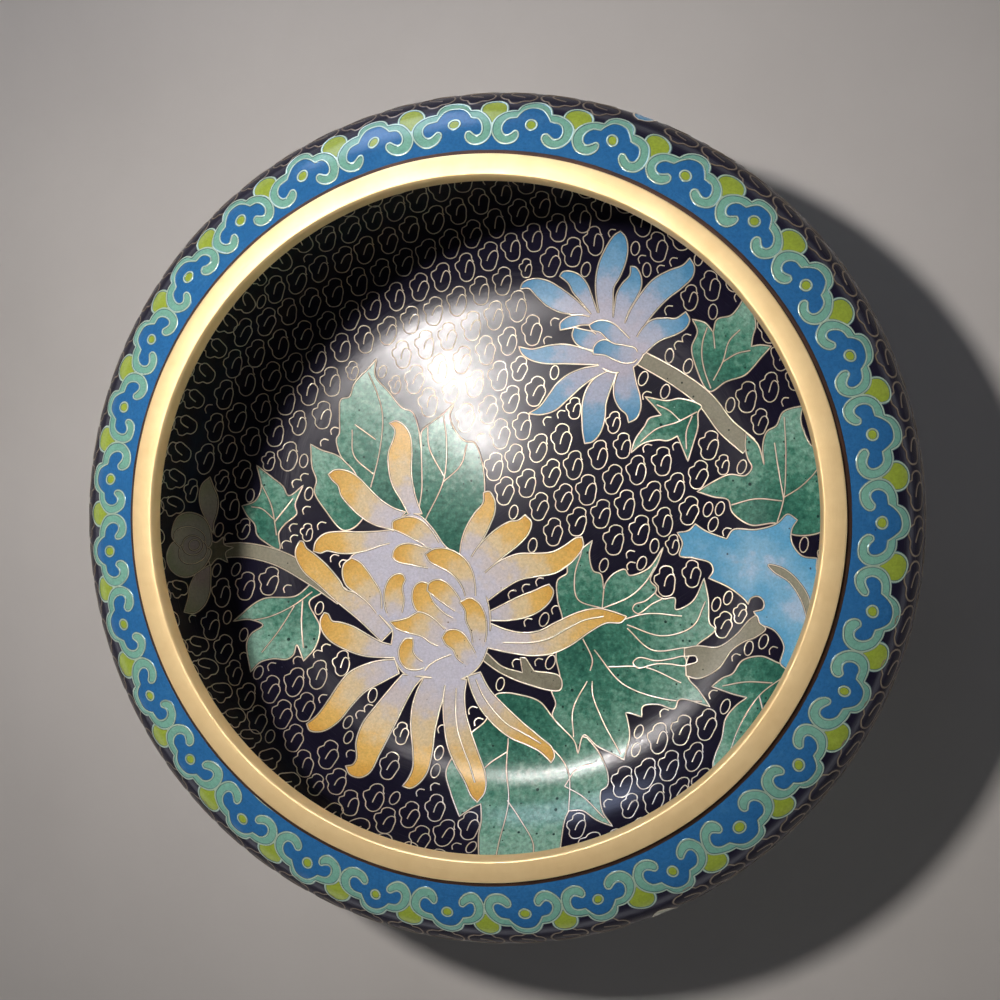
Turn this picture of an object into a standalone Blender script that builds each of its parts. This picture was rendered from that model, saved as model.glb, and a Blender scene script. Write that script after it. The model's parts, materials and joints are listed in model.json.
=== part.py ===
"""Cloisonne cachepot: a squat enamelled bowl with a turned-in shoulder and two gilt rings.

Units are metres, +Z is up and the origin is where the bowl's axis meets the table.
The bowl is a copper shell with enamel fired onto both faces, so it is one hollow solid.
A gilt band sits on the inturned edge at the mouth, and a gilt ring is soldered under the bowl.
"""

import math

import bmesh
import bpy

COLLECTION_NAME = "cloisonne_cachepot"

# Whole object
OVERALL_HEIGHT = 0.0840
BELLY_RADIUS = 0.1015
BELLY_HEIGHT = 0.0640
SEGMENTS = 72

# Gilt band around the mouth
MOUTH_RADIUS = 0.0775
RING_RADIUS = 0.0825
RING_FLAT_RADIUS = 0.0786
RING_HEIGHT = 0.0044
RING_BEVEL_DROP = 0.0020
RING_EDGE_ROUND = 0.0004
RING_REBATE_RADIUS = 0.0790
RING_REBATE_DROP = 0.0031
RING_PROUD = 0.0014

# Enamelled copper wall
WALL = 0.0030
UNDERSIDE_HEIGHT = 0.0073
FLOOR_FLAT_RADIUS = 0.0300
BOWL_POWER = 2.5
SHOULDER_START_RADIUS = 0.0795
SHOULDER_POWER = 2.8

# Foot ring
FOOT_RADIUS = 0.0580
FOOT_WIDTH = 0.0050
FOOT_EDGE_ROUND = 0.0007

# Gap between faces that touch in the real object
FIT_GAP = 0.0003

BOWL_STEPS = 12
SHOULDER_STEPS = 8
SHARP_ANGLE = math.radians(35)


def superellipse_point(centre, half_width, half_height, power, angle):
    """Return the (radius, height) of a superellipse at an angle from its outward axis."""
    cosine = max(math.cos(angle), 0.0)
    sine = math.sin(angle)
    radius = centre[0] + half_width * cosine ** (2.0 / power)
    height = centre[1] + math.copysign(half_height * abs(sine) ** (2.0 / power), sine)
    return (radius, height)


def bowl_curve(inset):
    """Return the bowl's curve from the edge of its flat floor up to the belly."""
    centre = (FLOOR_FLAT_RADIUS, BELLY_HEIGHT)
    half_width = BELLY_RADIUS - FLOOR_FLAT_RADIUS - inset
    half_height = BELLY_HEIGHT - UNDERSIDE_HEIGHT - inset
    angles = [math.radians(-90.0 + 90.0 * step / BOWL_STEPS) for step in range(BOWL_STEPS + 1)]
    return [superellipse_point(centre, half_width, half_height, BOWL_POWER, a) for a in angles]


def shoulder_curve(inset, end_radius):
    """Return the shoulder's curve from just above the belly in to end_radius at the mouth."""
    centre = (SHOULDER_START_RADIUS, BELLY_HEIGHT)
    half_width = BELLY_RADIUS - SHOULDER_START_RADIUS - inset
    half_height = OVERALL_HEIGHT - RING_PROUD - BELLY_HEIGHT - inset
    share = max(end_radius - SHOULDER_START_RADIUS, 0.0) / half_width
    end_angle = math.acos(share ** (SHOULDER_POWER / 2.0))
    angles = [end_angle * step / SHOULDER_STEPS for step in range(1, SHOULDER_STEPS + 1)]
    return [superellipse_point(centre, half_width, half_height, SHOULDER_POWER, a) for a in angles]


def body_profile():
    """Return the shell's half section: up the inside, over the ledge, and down the outside."""
    ledge_top = OVERALL_HEIGHT - RING_REBATE_DROP - FIT_GAP
    ledge_inner = RING_REBATE_RADIUS + FIT_GAP
    ledge_outer = RING_RADIUS + FIT_GAP
    inside = [(0.0, UNDERSIDE_HEIGHT + WALL)] + bowl_curve(WALL) + shoulder_curve(WALL, ledge_inner)
    outside = bowl_curve(0.0) + shoulder_curve(0.0, ledge_outer)
    ledge = [(ledge_inner, ledge_top), (ledge_outer, ledge_top)]
    return inside + ledge + outside[::-1] + [(0.0, UNDERSIDE_HEIGHT)]


def mouth_ring_profile():
    """Return the band's closed section, which drops into a ledge on the bowl's edge."""
    top = OVERALL_HEIGHT
    bottom = top - RING_HEIGHT
    rebate = top - RING_REBATE_DROP
    bevel_foot = top - RING_BEVEL_DROP
    return [
        (MOUTH_RADIUS, bottom),
        (MOUTH_RADIUS, bevel_foot),
        (RING_FLAT_RADIUS - RING_EDGE_ROUND, top - RING_EDGE_ROUND),
        (RING_FLAT_RADIUS, top),
        (RING_RADIUS - RING_EDGE_ROUND, top),
        (RING_RADIUS, top - RING_EDGE_ROUND),
        (RING_RADIUS, rebate),
        (RING_REBATE_RADIUS, rebate),
        (RING_REBATE_RADIUS, bottom),
    ]


def underside_height(radius):
    """Return the height of the bowl's underside at a radius past its flat middle."""
    half_width = BELLY_RADIUS - FLOOR_FLAT_RADIUS
    half_height = BELLY_HEIGHT - UNDERSIDE_HEIGHT
    across = (radius - FLOOR_FLAT_RADIUS) / half_width
    return BELLY_HEIGHT - half_height * (1.0 - across ** BOWL_POWER) ** (1.0 / BOWL_POWER)


def foot_ring_profile():
    """Return the foot's closed section, whose top follows the curve of the bowl."""
    inner = FOOT_RADIUS - FOOT_WIDTH
    middle = FOOT_RADIUS - FOOT_WIDTH / 2.0
    return [
        (inner, FOOT_EDGE_ROUND),
        (inner, underside_height(inner) - FIT_GAP),
        (middle, underside_height(middle) - FIT_GAP),
        (FOOT_RADIUS, underside_height(FOOT_RADIUS) - FIT_GAP),
        (FOOT_RADIUS, FOOT_EDGE_ROUND),
        (FOOT_RADIUS - FOOT_EDGE_ROUND, 0.0),
        (inner + FOOT_EDGE_ROUND, 0.0),
    ]


def make_material(name, colour, roughness, metallic):
    """Return a Principled material with one colour, roughness and metallic value."""
    material = bpy.data.materials.new(name)
    material.use_nodes = True
    shader = material.node_tree.nodes["Principled BSDF"]
    shader.inputs["Base Color"].default_value = (*colour, 1.0)
    shader.inputs["Roughness"].default_value = roughness
    shader.inputs["Metallic"].default_value = metallic
    return material


def make_turned_solid(name, profile, closed, material, collection):
    """Turn a half section about the Z axis and return the solid as a mesh object."""
    section = bpy.data.meshes.new(name + "_section")
    edges = [(index, index + 1) for index in range(len(profile) - 1)]
    if closed:
        edges.append((len(profile) - 1, 0))
    section.from_pydata([(radius, 0.0, height) for radius, height in profile], edges, [])
    turner = bpy.data.objects.new(name + "_section", section)
    collection.objects.link(turner)

    screw = turner.modifiers.new("Turn", "SCREW")
    screw.axis = "Z"
    screw.steps = SEGMENTS
    screw.render_steps = SEGMENTS
    screw.use_merge_vertices = True
    screw.merge_threshold = 0.00001

    mesh = bpy.data.meshes.new_from_object(turner.evaluated_get(bpy.context.evaluated_depsgraph_get()))
    bpy.data.objects.remove(turner)
    bpy.data.meshes.remove(section)

    welded = bmesh.new()
    welded.from_mesh(mesh)
    bmesh.ops.remove_doubles(welded, verts=welded.verts, dist=0.00001)
    welded.to_mesh(mesh)
    welded.free()

    mesh.name = name
    mesh.materials.append(material)
    mesh.shade_smooth()
    mesh.set_sharp_from_angle(angle=SHARP_ANGLE)
    solid = bpy.data.objects.new(name, mesh)
    collection.objects.link(solid)
    return solid


def main():
    """Build the cachepot's three pieces in a collection of their own."""
    for old in list(bpy.data.objects):
        bpy.data.objects.remove(old, do_unlink=True)
    collection = bpy.data.collections.new(COLLECTION_NAME)
    bpy.context.scene.collection.children.link(collection)

    enamel = make_material("black_ground_enamel", (0.012, 0.014, 0.024), 0.15, 0.0)
    gilt = make_material("gilt_mouth_copper", (0.76, 0.55, 0.26), 0.30, 1.0)
    foot_gilt = make_material("gilt_foot_copper", (0.68, 0.47, 0.21), 0.36, 1.0)

    make_turned_solid("enamelled_body", body_profile(), False, enamel, collection)
    make_turned_solid("mouth_ring", mouth_ring_profile(), True, gilt, collection)
    make_turned_solid("foot_ring", foot_ring_profile(), True, foot_gilt, collection)


main()
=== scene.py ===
"""Cloisonne cachepot: the looks of a squat enamelled bowl with a gilt mouth band and a gilt foot.

Every cell of enamel and every wire is drawn flat, on a plan of the bowl's skin, and is then laid
on the bowl's turned section. On the plan of the inside, a point's distance from the middle is its
distance along the section from the middle of the floor. On the plan of the outside, it is the
mouth's radius plus the distance along the section from the mouth band.
Plans are drawn in millimetres. Sections, meshes and materials are in metres.
"""

import json
import logging
import math
import random
from collections.abc import Callable, Iterable, Sequence
from dataclasses import dataclass, field, replace
from enum import Enum
from typing import Any

import bpy
from bpy.types import Collection, Material, Mesh, Node, NodeInputs, NodeSocket, NodeTree, Object
from mathutils import Matrix, Vector, geometry
from mathutils.bvhtree import BVHTree

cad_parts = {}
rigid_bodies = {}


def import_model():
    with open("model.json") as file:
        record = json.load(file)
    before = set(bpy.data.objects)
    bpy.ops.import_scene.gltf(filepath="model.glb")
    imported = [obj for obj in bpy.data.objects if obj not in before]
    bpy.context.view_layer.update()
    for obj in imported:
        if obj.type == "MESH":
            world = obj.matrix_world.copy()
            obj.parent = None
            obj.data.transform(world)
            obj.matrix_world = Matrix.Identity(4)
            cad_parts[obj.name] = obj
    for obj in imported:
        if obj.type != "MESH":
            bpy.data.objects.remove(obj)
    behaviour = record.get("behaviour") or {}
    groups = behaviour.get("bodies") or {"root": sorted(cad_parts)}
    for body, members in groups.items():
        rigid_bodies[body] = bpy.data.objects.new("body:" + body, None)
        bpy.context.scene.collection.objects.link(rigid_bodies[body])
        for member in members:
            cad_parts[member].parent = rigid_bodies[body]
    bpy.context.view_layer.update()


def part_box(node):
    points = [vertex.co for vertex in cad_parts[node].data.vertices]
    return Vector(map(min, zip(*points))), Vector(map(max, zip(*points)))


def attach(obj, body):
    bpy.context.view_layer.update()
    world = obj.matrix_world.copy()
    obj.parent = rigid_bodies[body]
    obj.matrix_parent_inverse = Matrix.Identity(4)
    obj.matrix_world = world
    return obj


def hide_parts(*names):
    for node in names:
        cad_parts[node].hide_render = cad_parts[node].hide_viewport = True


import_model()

LOG = logging.getLogger("cachepot")

# The CAD part's body and nodes
BODY = "root"
BODY_NODE = "enamelled_body"
MOUTH_NODE = "mouth_ring"
FOOT_NODE = "foot_ring"

# A millimetre in metres
MM = 0.001
# The usual distance between the points of a drawn line, and how close counts as touching, in mm
STEP = 0.7
NEAR = 0.001
# How far past its root's corners a petal joins its flower without a wire, in mm
PETAL_MOUTH = 0.6

# Values kept on points, and the wire finishes besides their own: a darker copy with tarnish and painted
# shade, and a mint copy with painted reflection and shade
SKIN_NORMAL = "skin_normal"
FLANK = "flank"
ANCHOR = "anchor"
TINT = "tint"
TARNISHED_SHADED_WIRE = "worn_wire"
MINT_REFLECTION_WIRE = "tinged_wire"

Point = tuple[float, float]
Colour = tuple[float, float, float, float]
SHARP = True


# ---------------------------------------------------------------------------------------------
# Drawing on the plan
# ---------------------------------------------------------------------------------------------


def away(start: Point, end: Point) -> float:
    """Returns the distance between two points of the plan."""
    return math.hypot(end[0] - start[0], end[1] - start[1])


def blend_points(start: Point, end: Point, share: float) -> Point:
    """Returns the point at a share of the way from start to end."""
    return (start[0] + (end[0] - start[0]) * share, start[1] + (end[1] - start[1]) * share)


def bow(before: Point, start: Point, end: Point, after: Point, step: float) -> list[Point]:
    """Draws the stretch of a centripetal Catmull-Rom curve from start up to, but not at, end.

    Args:
        before: The point before start, which sets the direction at start.
        start: Where the stretch starts.
        end: Where the stretch ends.
        after: The point after end, which sets the direction at end.
        step: The longest distance between two points, in millimetres.

    Returns:
        The stretch's points.
    """
    knots = [0.0]
    for here, there in ((before, start), (start, end), (end, after)):
        knots.append(knots[-1] + max(away(here, there), 1e-6) ** 0.5)
    pieces = max(1, math.ceil(away(start, end) / step))
    points = []
    for index in range(pieces):
        knot = knots[1] + (knots[2] - knots[1]) * index / pieces
        first = [
            blend_points(a, b, (knot - knots[n]) / (knots[n + 1] - knots[n]))
            for n, (a, b) in enumerate(((before, start), (start, end), (end, after)))
        ]
        second = [
            blend_points(first[n], first[n + 1], (knot - knots[n]) / (knots[n + 2] - knots[n]))
            for n in range(2)
        ]
        points.append(blend_points(*second, (knot - knots[1]) / (knots[2] - knots[1])))
    return points


def open_line(points: Sequence[Point], step: float = STEP) -> list[Point]:
    """Draws a smooth open line through points, ends included."""
    ends = [
        blend_points(points[1], points[0], 2.0),
        *points,
        blend_points(points[-2], points[-1], 2.0),
    ]
    line: list[Point] = []
    for index in range(len(points) - 1):
        line += bow(*ends[index : index + 4], step)
    return [*line, points[-1]]


def outline(points: Sequence[tuple], step: float = STEP) -> list[Point]:
    """Draws a closed outline through points, with a corner at each point marked SHARP.

    Args:
        points: (x, y) or (x, y, SHARP) in order round the shape.
        step: The longest distance between two points of the outline, in millimetres.

    Returns:
        The outline's points, without the first one repeated.
    """
    corners = [index for index, point in enumerate(points) if len(point) > 2]
    plain = [(point[0], point[1]) for point in points]
    count = len(plain)
    if not corners:
        line: list[Point] = []
        for index in range(count):
            line += bow(*(plain[(index + shift) % count] for shift in (-1, 0, 1, 2)), step)
        return line
    line = []
    for corner, following in zip(corners, [*corners[1:], corners[0] + count]):
        stretch = [plain[index % count] for index in range(corner, following + 1)]
        line += open_line(stretch, step)[:-1]
    return line


def directions(line: Sequence[Point]) -> list[Point]:
    """Returns the unit direction of an open line at each of its points."""
    found = []
    for index in range(len(line)):
        start, end = line[max(index - 1, 0)], line[min(index + 1, len(line) - 1)]
        length = max(away(start, end), 1e-9)
        found.append(((end[0] - start[0]) / length, (end[1] - start[1]) / length))
    return found


def ribbon(spine: Sequence[Point], half_width: Callable[[float], float]) -> list[Point]:
    """Draws the outline of a band round a spine.

    Args:
        spine: The points that the band's middle passes through.
        half_width: Gives half the band's width at a share of the way along it.

    Returns:
        The outline, up the left side and back down the right.
    """
    line = open_line(spine)
    left, right = [], []
    for index, ((x, y), (along_x, along_y)) in enumerate(zip(line, directions(line))):
        half = half_width(index / (len(line) - 1))
        left.append((x - along_y * half, y + along_x * half))
        right.append((x + along_y * half, y - along_x * half))
    return drop_repeats([*left, *reversed(right)])


def drop_repeats(line: Iterable[Point], least: float = 0.05) -> list[Point]:
    """Drops each point of a closed outline that lies on the one before it."""
    kept: list[Point] = []
    for point in line:
        if not kept or away(kept[-1], point) > least:
            kept.append(point)
    while len(kept) > 1 and away(kept[0], kept[-1]) <= least:
        kept.pop()
    return kept


def short_sided(line: Sequence[Point], longest: float) -> list[Point]:
    """Splits the sides of a closed outline that are longer than a length."""
    points: list[Point] = []
    for start, end in zip(line, [*line[1:], line[0]]):
        pieces = max(1, math.ceil(away(start, end) / longest))
        points += [blend_points(start, end, piece / pieces) for piece in range(pieces)]
    return points


def counterclockwise(line: list[Point]) -> list[Point]:
    """Returns a closed outline in counterclockwise order."""
    turns = sum(x * line[n - 1][1] - y * line[n - 1][0] for n, (x, y) in enumerate(line))
    return line if turns < 0.0 else line[::-1]


def turned(point: tuple, angle: float, size: float = 1.0, centre: Point = (0.0, 0.0)) -> tuple:
    """Returns a point after it is enlarged, turned about the origin and moved by centre."""
    x, y = point[0] * size, point[1] * size
    cosine, sine = math.cos(angle), math.sin(angle)
    return (centre[0] + x * cosine - y * sine, centre[1] + x * sine + y * cosine, *point[2:])


def on_circle(radius: float, angle: float) -> Point:
    """Returns the point at an angle on a circle round the origin."""
    return (radius * math.cos(angle), radius * math.sin(angle))


def oval(
    centre: Point, half_width: float, half_height: float, lean: float = 0.0, count: int = 20
) -> list[Point]:
    """Draws an ellipse that leans by an angle in radians."""
    turns = [math.tau * index / count for index in range(count)]
    flat = [(half_width * math.cos(turn), half_height * math.sin(turn)) for turn in turns]
    return [turned(point, lean, centre=centre) for point in flat]


# ---------------------------------------------------------------------------------------------
# Figures and the cells they are cut into
# ---------------------------------------------------------------------------------------------


class Enamel(Enum):
    """The enamels that figures are filled with."""

    GOLD_PETAL = "gold_petal"
    BLUE_PETAL = "blue_petal"
    WHITE_PETAL = "white_petal"
    LEAF = "leaf"
    STEM = "stem"
    ROCK = "rock"
    BORDER_BLUE = "border_blue"
    BORDER_TEAL = "border_teal"
    BORDER_LIME = "border_lime"
    GROUND = "ground"


Shading = Callable[[Point], float]


def shade_from(centre: Point, reach: float) -> Shading:
    """Returns a shading that runs from 0 at a centre to 1 at a distance from it."""
    return lambda point: min(away(centre, point) / reach, 1.0)


def shade_inwards(line: Sequence[Point], depth: float) -> Shading:
    """Returns a shading that runs from 0 on an outline to 1 at a depth inside it."""
    return lambda point: min(min(away(corner, point) for corner in line) / depth, 1.0)


def shade_evenly(value: float) -> Shading:
    """Returns a shading that is the same everywhere."""
    return lambda point: value


@dataclass
class Figure:
    """One closed shape of the picture, before what lies over it is cut away.

    Attributes:
        enamel: What fills it.
        line: Its outline on the plan.
        shading: Gives the tint, from 0 to 1, at a point of it.
        family: Figures of one family have no wire where an upper one's root joins a lower one.
        root: Where the figure opens into its family, if it does.
        root_reach: How far from the root its outline has no wire.
        veins: Wires that run across it.
        shown: False for a figure that only cuts others.
    """

    enamel: Enamel
    line: list[Point]
    shading: Shading = shade_evenly(0.0)
    family: str = ""
    root: Point | None = None
    root_reach: float = 0.0
    veins: list[list[Point]] = field(default_factory=list)
    shown: bool = True


@dataclass(frozen=True)
class Petal:
    """A petal drawn by its edge, from one side of its root round its tip to the other side.

    Attributes:
        edge: The edge's points, with SHARP at the tip.
        creases: The points of each wire that runs along it.
    """

    edge: tuple[tuple, ...]
    creases: tuple[tuple[Point, ...], ...] = ()

    def figure(self, enamel: Enamel) -> Figure:
        """Draws the petal as a figure that opens into its flower at the root."""
        start, end = self.edge[0][:2], self.edge[-1][:2]
        root = blend_points(start, end, 0.5)
        return Figure(
            enamel=enamel,
            line=outline(((*start, SHARP), *self.edge[1:-1], (*end, SHARP))),
            shading=shade_from(root, max(away(root, point[:2]) for point in self.edge)),
            family=enamel.value,
            root=root,
            root_reach=0.5 * away(start, end) + PETAL_MOUTH,
            veins=[open_line(crease) for crease in self.creases],
        )


@dataclass
class CutCells:
    """The cells of a set of figures after the upper ones have cut the lower ones.

    Attributes:
        points: The plan's points.
        triangles: (point, point, point, figure) for each triangle.
        wires: (point, point) for each border that a wire follows.
    """

    points: list[Point]
    triangles: list[tuple[int, int, int, int]]
    wires: list[tuple[int, int]]


class CellCutter:
    """Cuts overlapping figures into the cells that show, and finds the wires between them."""

    merge_distance = 0.01
    longest_side = 1.2

    def __init__(self, figures: Sequence[Figure], spacing: float) -> None:
        """Takes the figures from the lowest to the uppermost.

        Args:
            figures: The figures, lowest first.
            spacing: The distance between points inside the cells, in millimetres.
        """
        self.figures = figures
        self.spacing = spacing

    def filling(self) -> list[Point]:
        """Returns a triangular lattice of points over all the figures."""
        xs = [x for figure in self.figures for x, _ in figure.line]
        ys = [y for figure in self.figures for _, y in figure.line]
        rise = self.spacing * math.sqrt(0.75)
        rows = range(math.floor(min(ys) / rise), math.ceil(max(ys) / rise) + 1)
        columns = range(math.floor(min(xs) / self.spacing), math.ceil(max(xs) / self.spacing) + 1)
        return [((column + 0.5 * (row % 2)) * self.spacing, row * rise) for row in rows for column in columns]

    def opens(self, upper: int, lower: int, middle: Point) -> bool:
        """Tells whether an upper figure's border on a lower one is left without a wire."""
        over, under = self.figures[upper], self.figures[lower]
        if not over.family or over.family != under.family:
            return False
        if over.root is None:
            return under.root is None
        return away(over.root, middle) < over.root_reach

    def cut(self) -> CutCells:
        """Cuts the cells.

        Returns:
            The cells' triangles and wires, for the figures that are shown.
        """
        spots: list[Point] = []
        loops: list[list[int]] = []
        for figure in self.figures:
            line = counterclockwise(short_sided(drop_repeats(figure.line), self.longest_side))
            loops.append(list(range(len(spots), len(spots) + len(line))))
            spots += line
        spots += self.filling()
        cut = geometry.delaunay_2d_cdt([Vector(p) for p in spots], [], loops, 1, self.merge_distance, True)
        points = [(point.x, point.y) for point in cut[0]]
        triangles = []
        sides: dict[tuple[int, int], list[int]] = {}
        for corners, owners in zip(cut[2], cut[5]):
            if not owners:
                continue
            top = max(owners)
            a, b, c = corners
            area = (points[b][0] - points[a][0]) * (points[c][1] - points[a][1])
            area -= (points[c][0] - points[a][0]) * (points[b][1] - points[a][1])
            if area < 0.0:
                b, c = c, b
            if self.figures[top].shown:
                triangles.append((a, b, c, top))
            for start, end in ((a, b), (b, c), (c, a)):
                sides.setdefault((min(start, end), max(start, end)), []).append(top)
        wires = []
        for (start, end), tops in sides.items():
            upper, lower = max(tops), min(tops)
            if len(tops) == 2 and upper == lower or not self.figures[upper].shown:
                continue
            middle = blend_points(points[start], points[end], 0.5)
            if len(tops) == 2 and self.opens(upper, lower, middle):
                continue
            wires.append((start, end))
        return CutCells(points, triangles, wires)


class Picture:
    """A set of cut figures, ready to be laid on the bowl."""

    def __init__(self, name: str, figures: Sequence[Figure], spacing: float = 2.0) -> None:
        """Cuts the figures.

        Args:
            name: What the picture is called in its pieces' names.
            figures: The figures, lowest first.
            spacing: The distance between points inside the cells, in millimetres.
        """
        self.name = name
        self.figures = list(figures)
        self.cells = CellCutter(self.figures, spacing).cut()
        corners = [(x, y, 0.0) for x, y in self.cells.points]
        self.tops = [top for _, _, _, top in self.cells.triangles]
        self.tree = BVHTree.FromPolygons(corners, [face[:3] for face in self.cells.triangles])

    def nearest(self, point: Point) -> tuple[Point, float, int]:
        """Returns the figures' nearest point to a point, how far it is, and whose it is."""
        place, _, face, distance = self.tree.find_nearest((point[0], point[1], 0.0))
        return (place.x, place.y), distance, self.tops[face]

    def enamels(self) -> list[Enamel]:
        """Returns the enamels that show, in the order of their first figures."""
        return list(dict.fromkeys(self.figures[top].enamel for top in sorted(set(self.tops))))

    def sheet(self, enamel: Enamel) -> Mesh:
        """Makes the flat mesh of all the cells of one enamel.

        Args:
            enamel: The enamel.

        Returns:
            A mesh in metres on the plan, with the tint at each point.
        """
        found: dict[tuple[int, int], int] = {}
        places: list[Point] = []
        tints: list[float] = []
        faces = []
        for *corners, top in self.cells.triangles:
            if self.figures[top].enamel is not enamel:
                continue
            face = []
            for corner in corners:
                if (corner, top) not in found:
                    found[corner, top] = len(places)
                    places.append(self.cells.points[corner])
                    tints.append(self.figures[top].shading(self.cells.points[corner]))
                face.append(found[corner, top])
            faces.append(face)
        mesh = bpy.data.meshes.new(f"{self.name}_{enamel.value}_plan")
        mesh.from_pydata(flat_places(places), [], faces)
        mesh.attributes.new(TINT, "FLOAT", "POINT").data.foreach_set("value", tints)
        return mesh

    def clipped_vein(self, vein: Sequence[Point], owner: int) -> list[list[Point]]:
        """Returns the stretches of a vein where its own figure shows."""
        stretches: list[list[Point]] = [[]]
        for point in vein:
            _, distance, top = self.nearest(point)
            if distance < NEAR and top == owner:
                stretches[-1].append(point)
            elif stretches[-1]:
                stretches.append([])
        return [stretch for stretch in stretches if len(stretch) > 2]

    def wirework(self) -> Mesh:
        """Makes the flat mesh of edges that the wires follow: the cells' borders and the veins."""
        places = list(self.cells.points)
        edges = list(self.cells.wires)
        for owner, figure in enumerate(self.figures):
            for vein in figure.veins:
                for stretch in self.clipped_vein(vein, owner):
                    edges += [(n, n + 1) for n in range(len(places), len(places) + len(stretch) - 1)]
                    places += stretch
        used = sorted({corner for edge in edges for corner in edge})
        order = {corner: index for index, corner in enumerate(used)}
        mesh = bpy.data.meshes.new(f"{self.name}_wires_plan")
        joined = [(order[start], order[end]) for start, end in edges]
        mesh.from_pydata(flat_places(places[corner] for corner in used), joined, [])
        return mesh


# ---------------------------------------------------------------------------------------------
# Node trees
# ---------------------------------------------------------------------------------------------

GEOMETRY = "GeometryNodeTree"
SHADER = "ShaderNodeTree"
VECTOR = "FLOAT_VECTOR"
SHAPE = ("Geometry", "Geometry")


class NodeSketch:
    """Adds nodes to a tree and links them in the order that they are written."""

    def __init__(self, tree: NodeTree) -> None:
        """Takes the tree to draw in."""
        self.tree = tree

    def add(self, kind: str, *values: Any, **settings: Any) -> Node:
        """Adds a node.

        Args:
            kind: The node's type.
            values: One for each of its inputs in order: a node, a socket, a plain value, or None.
            settings: The node's own settings.

        Returns:
            The node.
        """
        node = self.tree.nodes.new(kind)
        for name, value in settings.items():
            setattr(node, name, value)
        for socket, value in zip([socket for socket in node.inputs if socket.enabled], values):
            self.feed(socket, value)
        return node

    def feed(self, socket: NodeSocket, value: Any) -> None:
        """Links a node or a socket into an input, or sets the input to a plain value."""
        if isinstance(value, Node):
            value = next(output for output in value.outputs if output.enabled)
        if isinstance(value, NodeSocket):
            self.tree.links.new(value, socket)
        elif value is not None:
            socket.default_value = value

    def math(self, operation: str, *values: Any, clamp: bool = False) -> NodeSocket:
        """Adds a Math node and returns its output."""
        return self.add("ShaderNodeMath", *values, operation=operation, use_clamp=clamp).outputs[0]

    def times(self, *values: Any, clamp: bool = False) -> NodeSocket:
        """Adds a Math node that multiplies and returns its output."""
        return self.math("MULTIPLY", *values, clamp=clamp)

    def plus(self, *values: Any) -> NodeSocket:
        """Adds a Math node that adds and returns its output."""
        return self.math("ADD", *values)

    def minus(self, *values: Any) -> NodeSocket:
        """Adds a Math node that subtracts and returns its output."""
        return self.math("SUBTRACT", *values)

    def mapped(self, value: Any, factor: Any, offset: Any, clamp: bool = False) -> NodeSocket:
        """Adds a Math node that multiplies by a factor and adds an offset, and returns its output."""
        return self.math("MULTIPLY_ADD", value, factor, offset, clamp=clamp)

    def vector(self, operation: str, *values: Any) -> NodeSocket:
        """Adds a Vector Math node and returns its output."""
        node = self.add("ShaderNodeVectorMath", *values, operation=operation)
        return node.outputs["Value" if operation in ("LENGTH", "DOT_PRODUCT", "DISTANCE") else "Vector"]

    def mixed(self, share: Any, first: Any, second: Any) -> NodeSocket:
        """Adds a node that mixes two colours and returns its output."""
        node = self.add("ShaderNodeMix", share, first, second, data_type="RGBA")
        return next(output for output in node.outputs if output.enabled)

    def place(self) -> NodeSocket:
        """Adds a Texture Coordinate node and returns the place on the object."""
        return self.add("ShaderNodeTexCoord").outputs["Object"]

    def turned(self, vector: Any, angle: Any) -> Node:
        """Adds a node that turns a vector about the Z axis."""
        return self.add("ShaderNodeVectorRotate", vector, None, angle, rotation_type="Z_AXIS")

    def eased(self, value: Any, *span: float) -> NodeSocket:
        """Adds a node that maps one span on another, eased at both ends, and returns its output."""
        node = self.add("ShaderNodeMapRange", value, *span, interpolation_type="SMOOTHSTEP")
        return node.outputs[0]

    def noise(self, place: Any, scale: Any, detail: float, roughness: float) -> Node:
        """Adds a Noise Texture node."""
        return self.add("ShaderNodeTexNoise", place, scale, detail, roughness)

    def split(self, vector: Any) -> Sequence[NodeSocket]:
        """Adds the node that takes a vector apart and returns its three outputs."""
        return self.add("ShaderNodeSeparateXYZ", vector).outputs

    def joined(self, x: Any = 0.0, y: Any = 0.0, z: Any = 0.0) -> NodeSocket:
        """Adds the node that makes a vector of three numbers and returns its output."""
        return self.add("ShaderNodeCombineXYZ", x, y, z).outputs[0]

    def position(self) -> NodeSocket:
        """Adds the node that gives each point's place and returns its output."""
        return self.add("GeometryNodeInputPosition").outputs[0]

    def heap(self, count: Any) -> Node:
        """Adds a node that makes a number of points at the origin, joined by edges."""
        return self.add("GeometryNodeMeshLine", count, None, (0.0, 0.0, 0.0))

    def shape_of(self, given: Any) -> NodeSocket:
        """Adds the node that takes the geometry of an object and returns its output."""
        return self.add("GeometryNodeObjectInfo", given).outputs["Geometry"]

    def done(self, *results: Any) -> NodeTree:
        """Adds the output node, fed with the results in order, and returns the tree."""
        self.add("NodeGroupOutput", *results)
        return self.tree

    def dressed(self, shape: Any, finish: Any) -> NodeTree:
        """Ends a tree: makes everything real and gives it its finish."""
        real = self.add("GeometryNodeRealizeInstances", shape)
        return self.done(self.add("GeometryNodeSetMaterial", real, None, finish))

    def stored(self, shape: Any, name: str, value: Any, kind: str) -> Node:
        """Adds a node that keeps a value on a shape's points."""
        kept = "GeometryNodeStoreNamedAttribute"
        return self.add(kept, shape, None, name, value, data_type=kind, domain="POINT")

    def named(self, name: str, kind: str) -> NodeSocket:
        """Adds the node that reads a value kept on points and returns its output."""
        return self.add("GeometryNodeInputNamedAttribute", name, data_type=kind).outputs["Attribute"]

    def moved(self, shape: Any, place: Any = None, offset: Any = None) -> Node:
        """Adds a node that moves a shape's points."""
        return self.add("GeometryNodeSetPosition", shape, None, place, offset)

    def smoothed(self, shape: Any, smooth: bool = True) -> Node:
        """Adds a node that makes a shape smooth or flat shaded."""
        return self.add("GeometryNodeSetShadeSmooth", shape, None, smooth)

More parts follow.
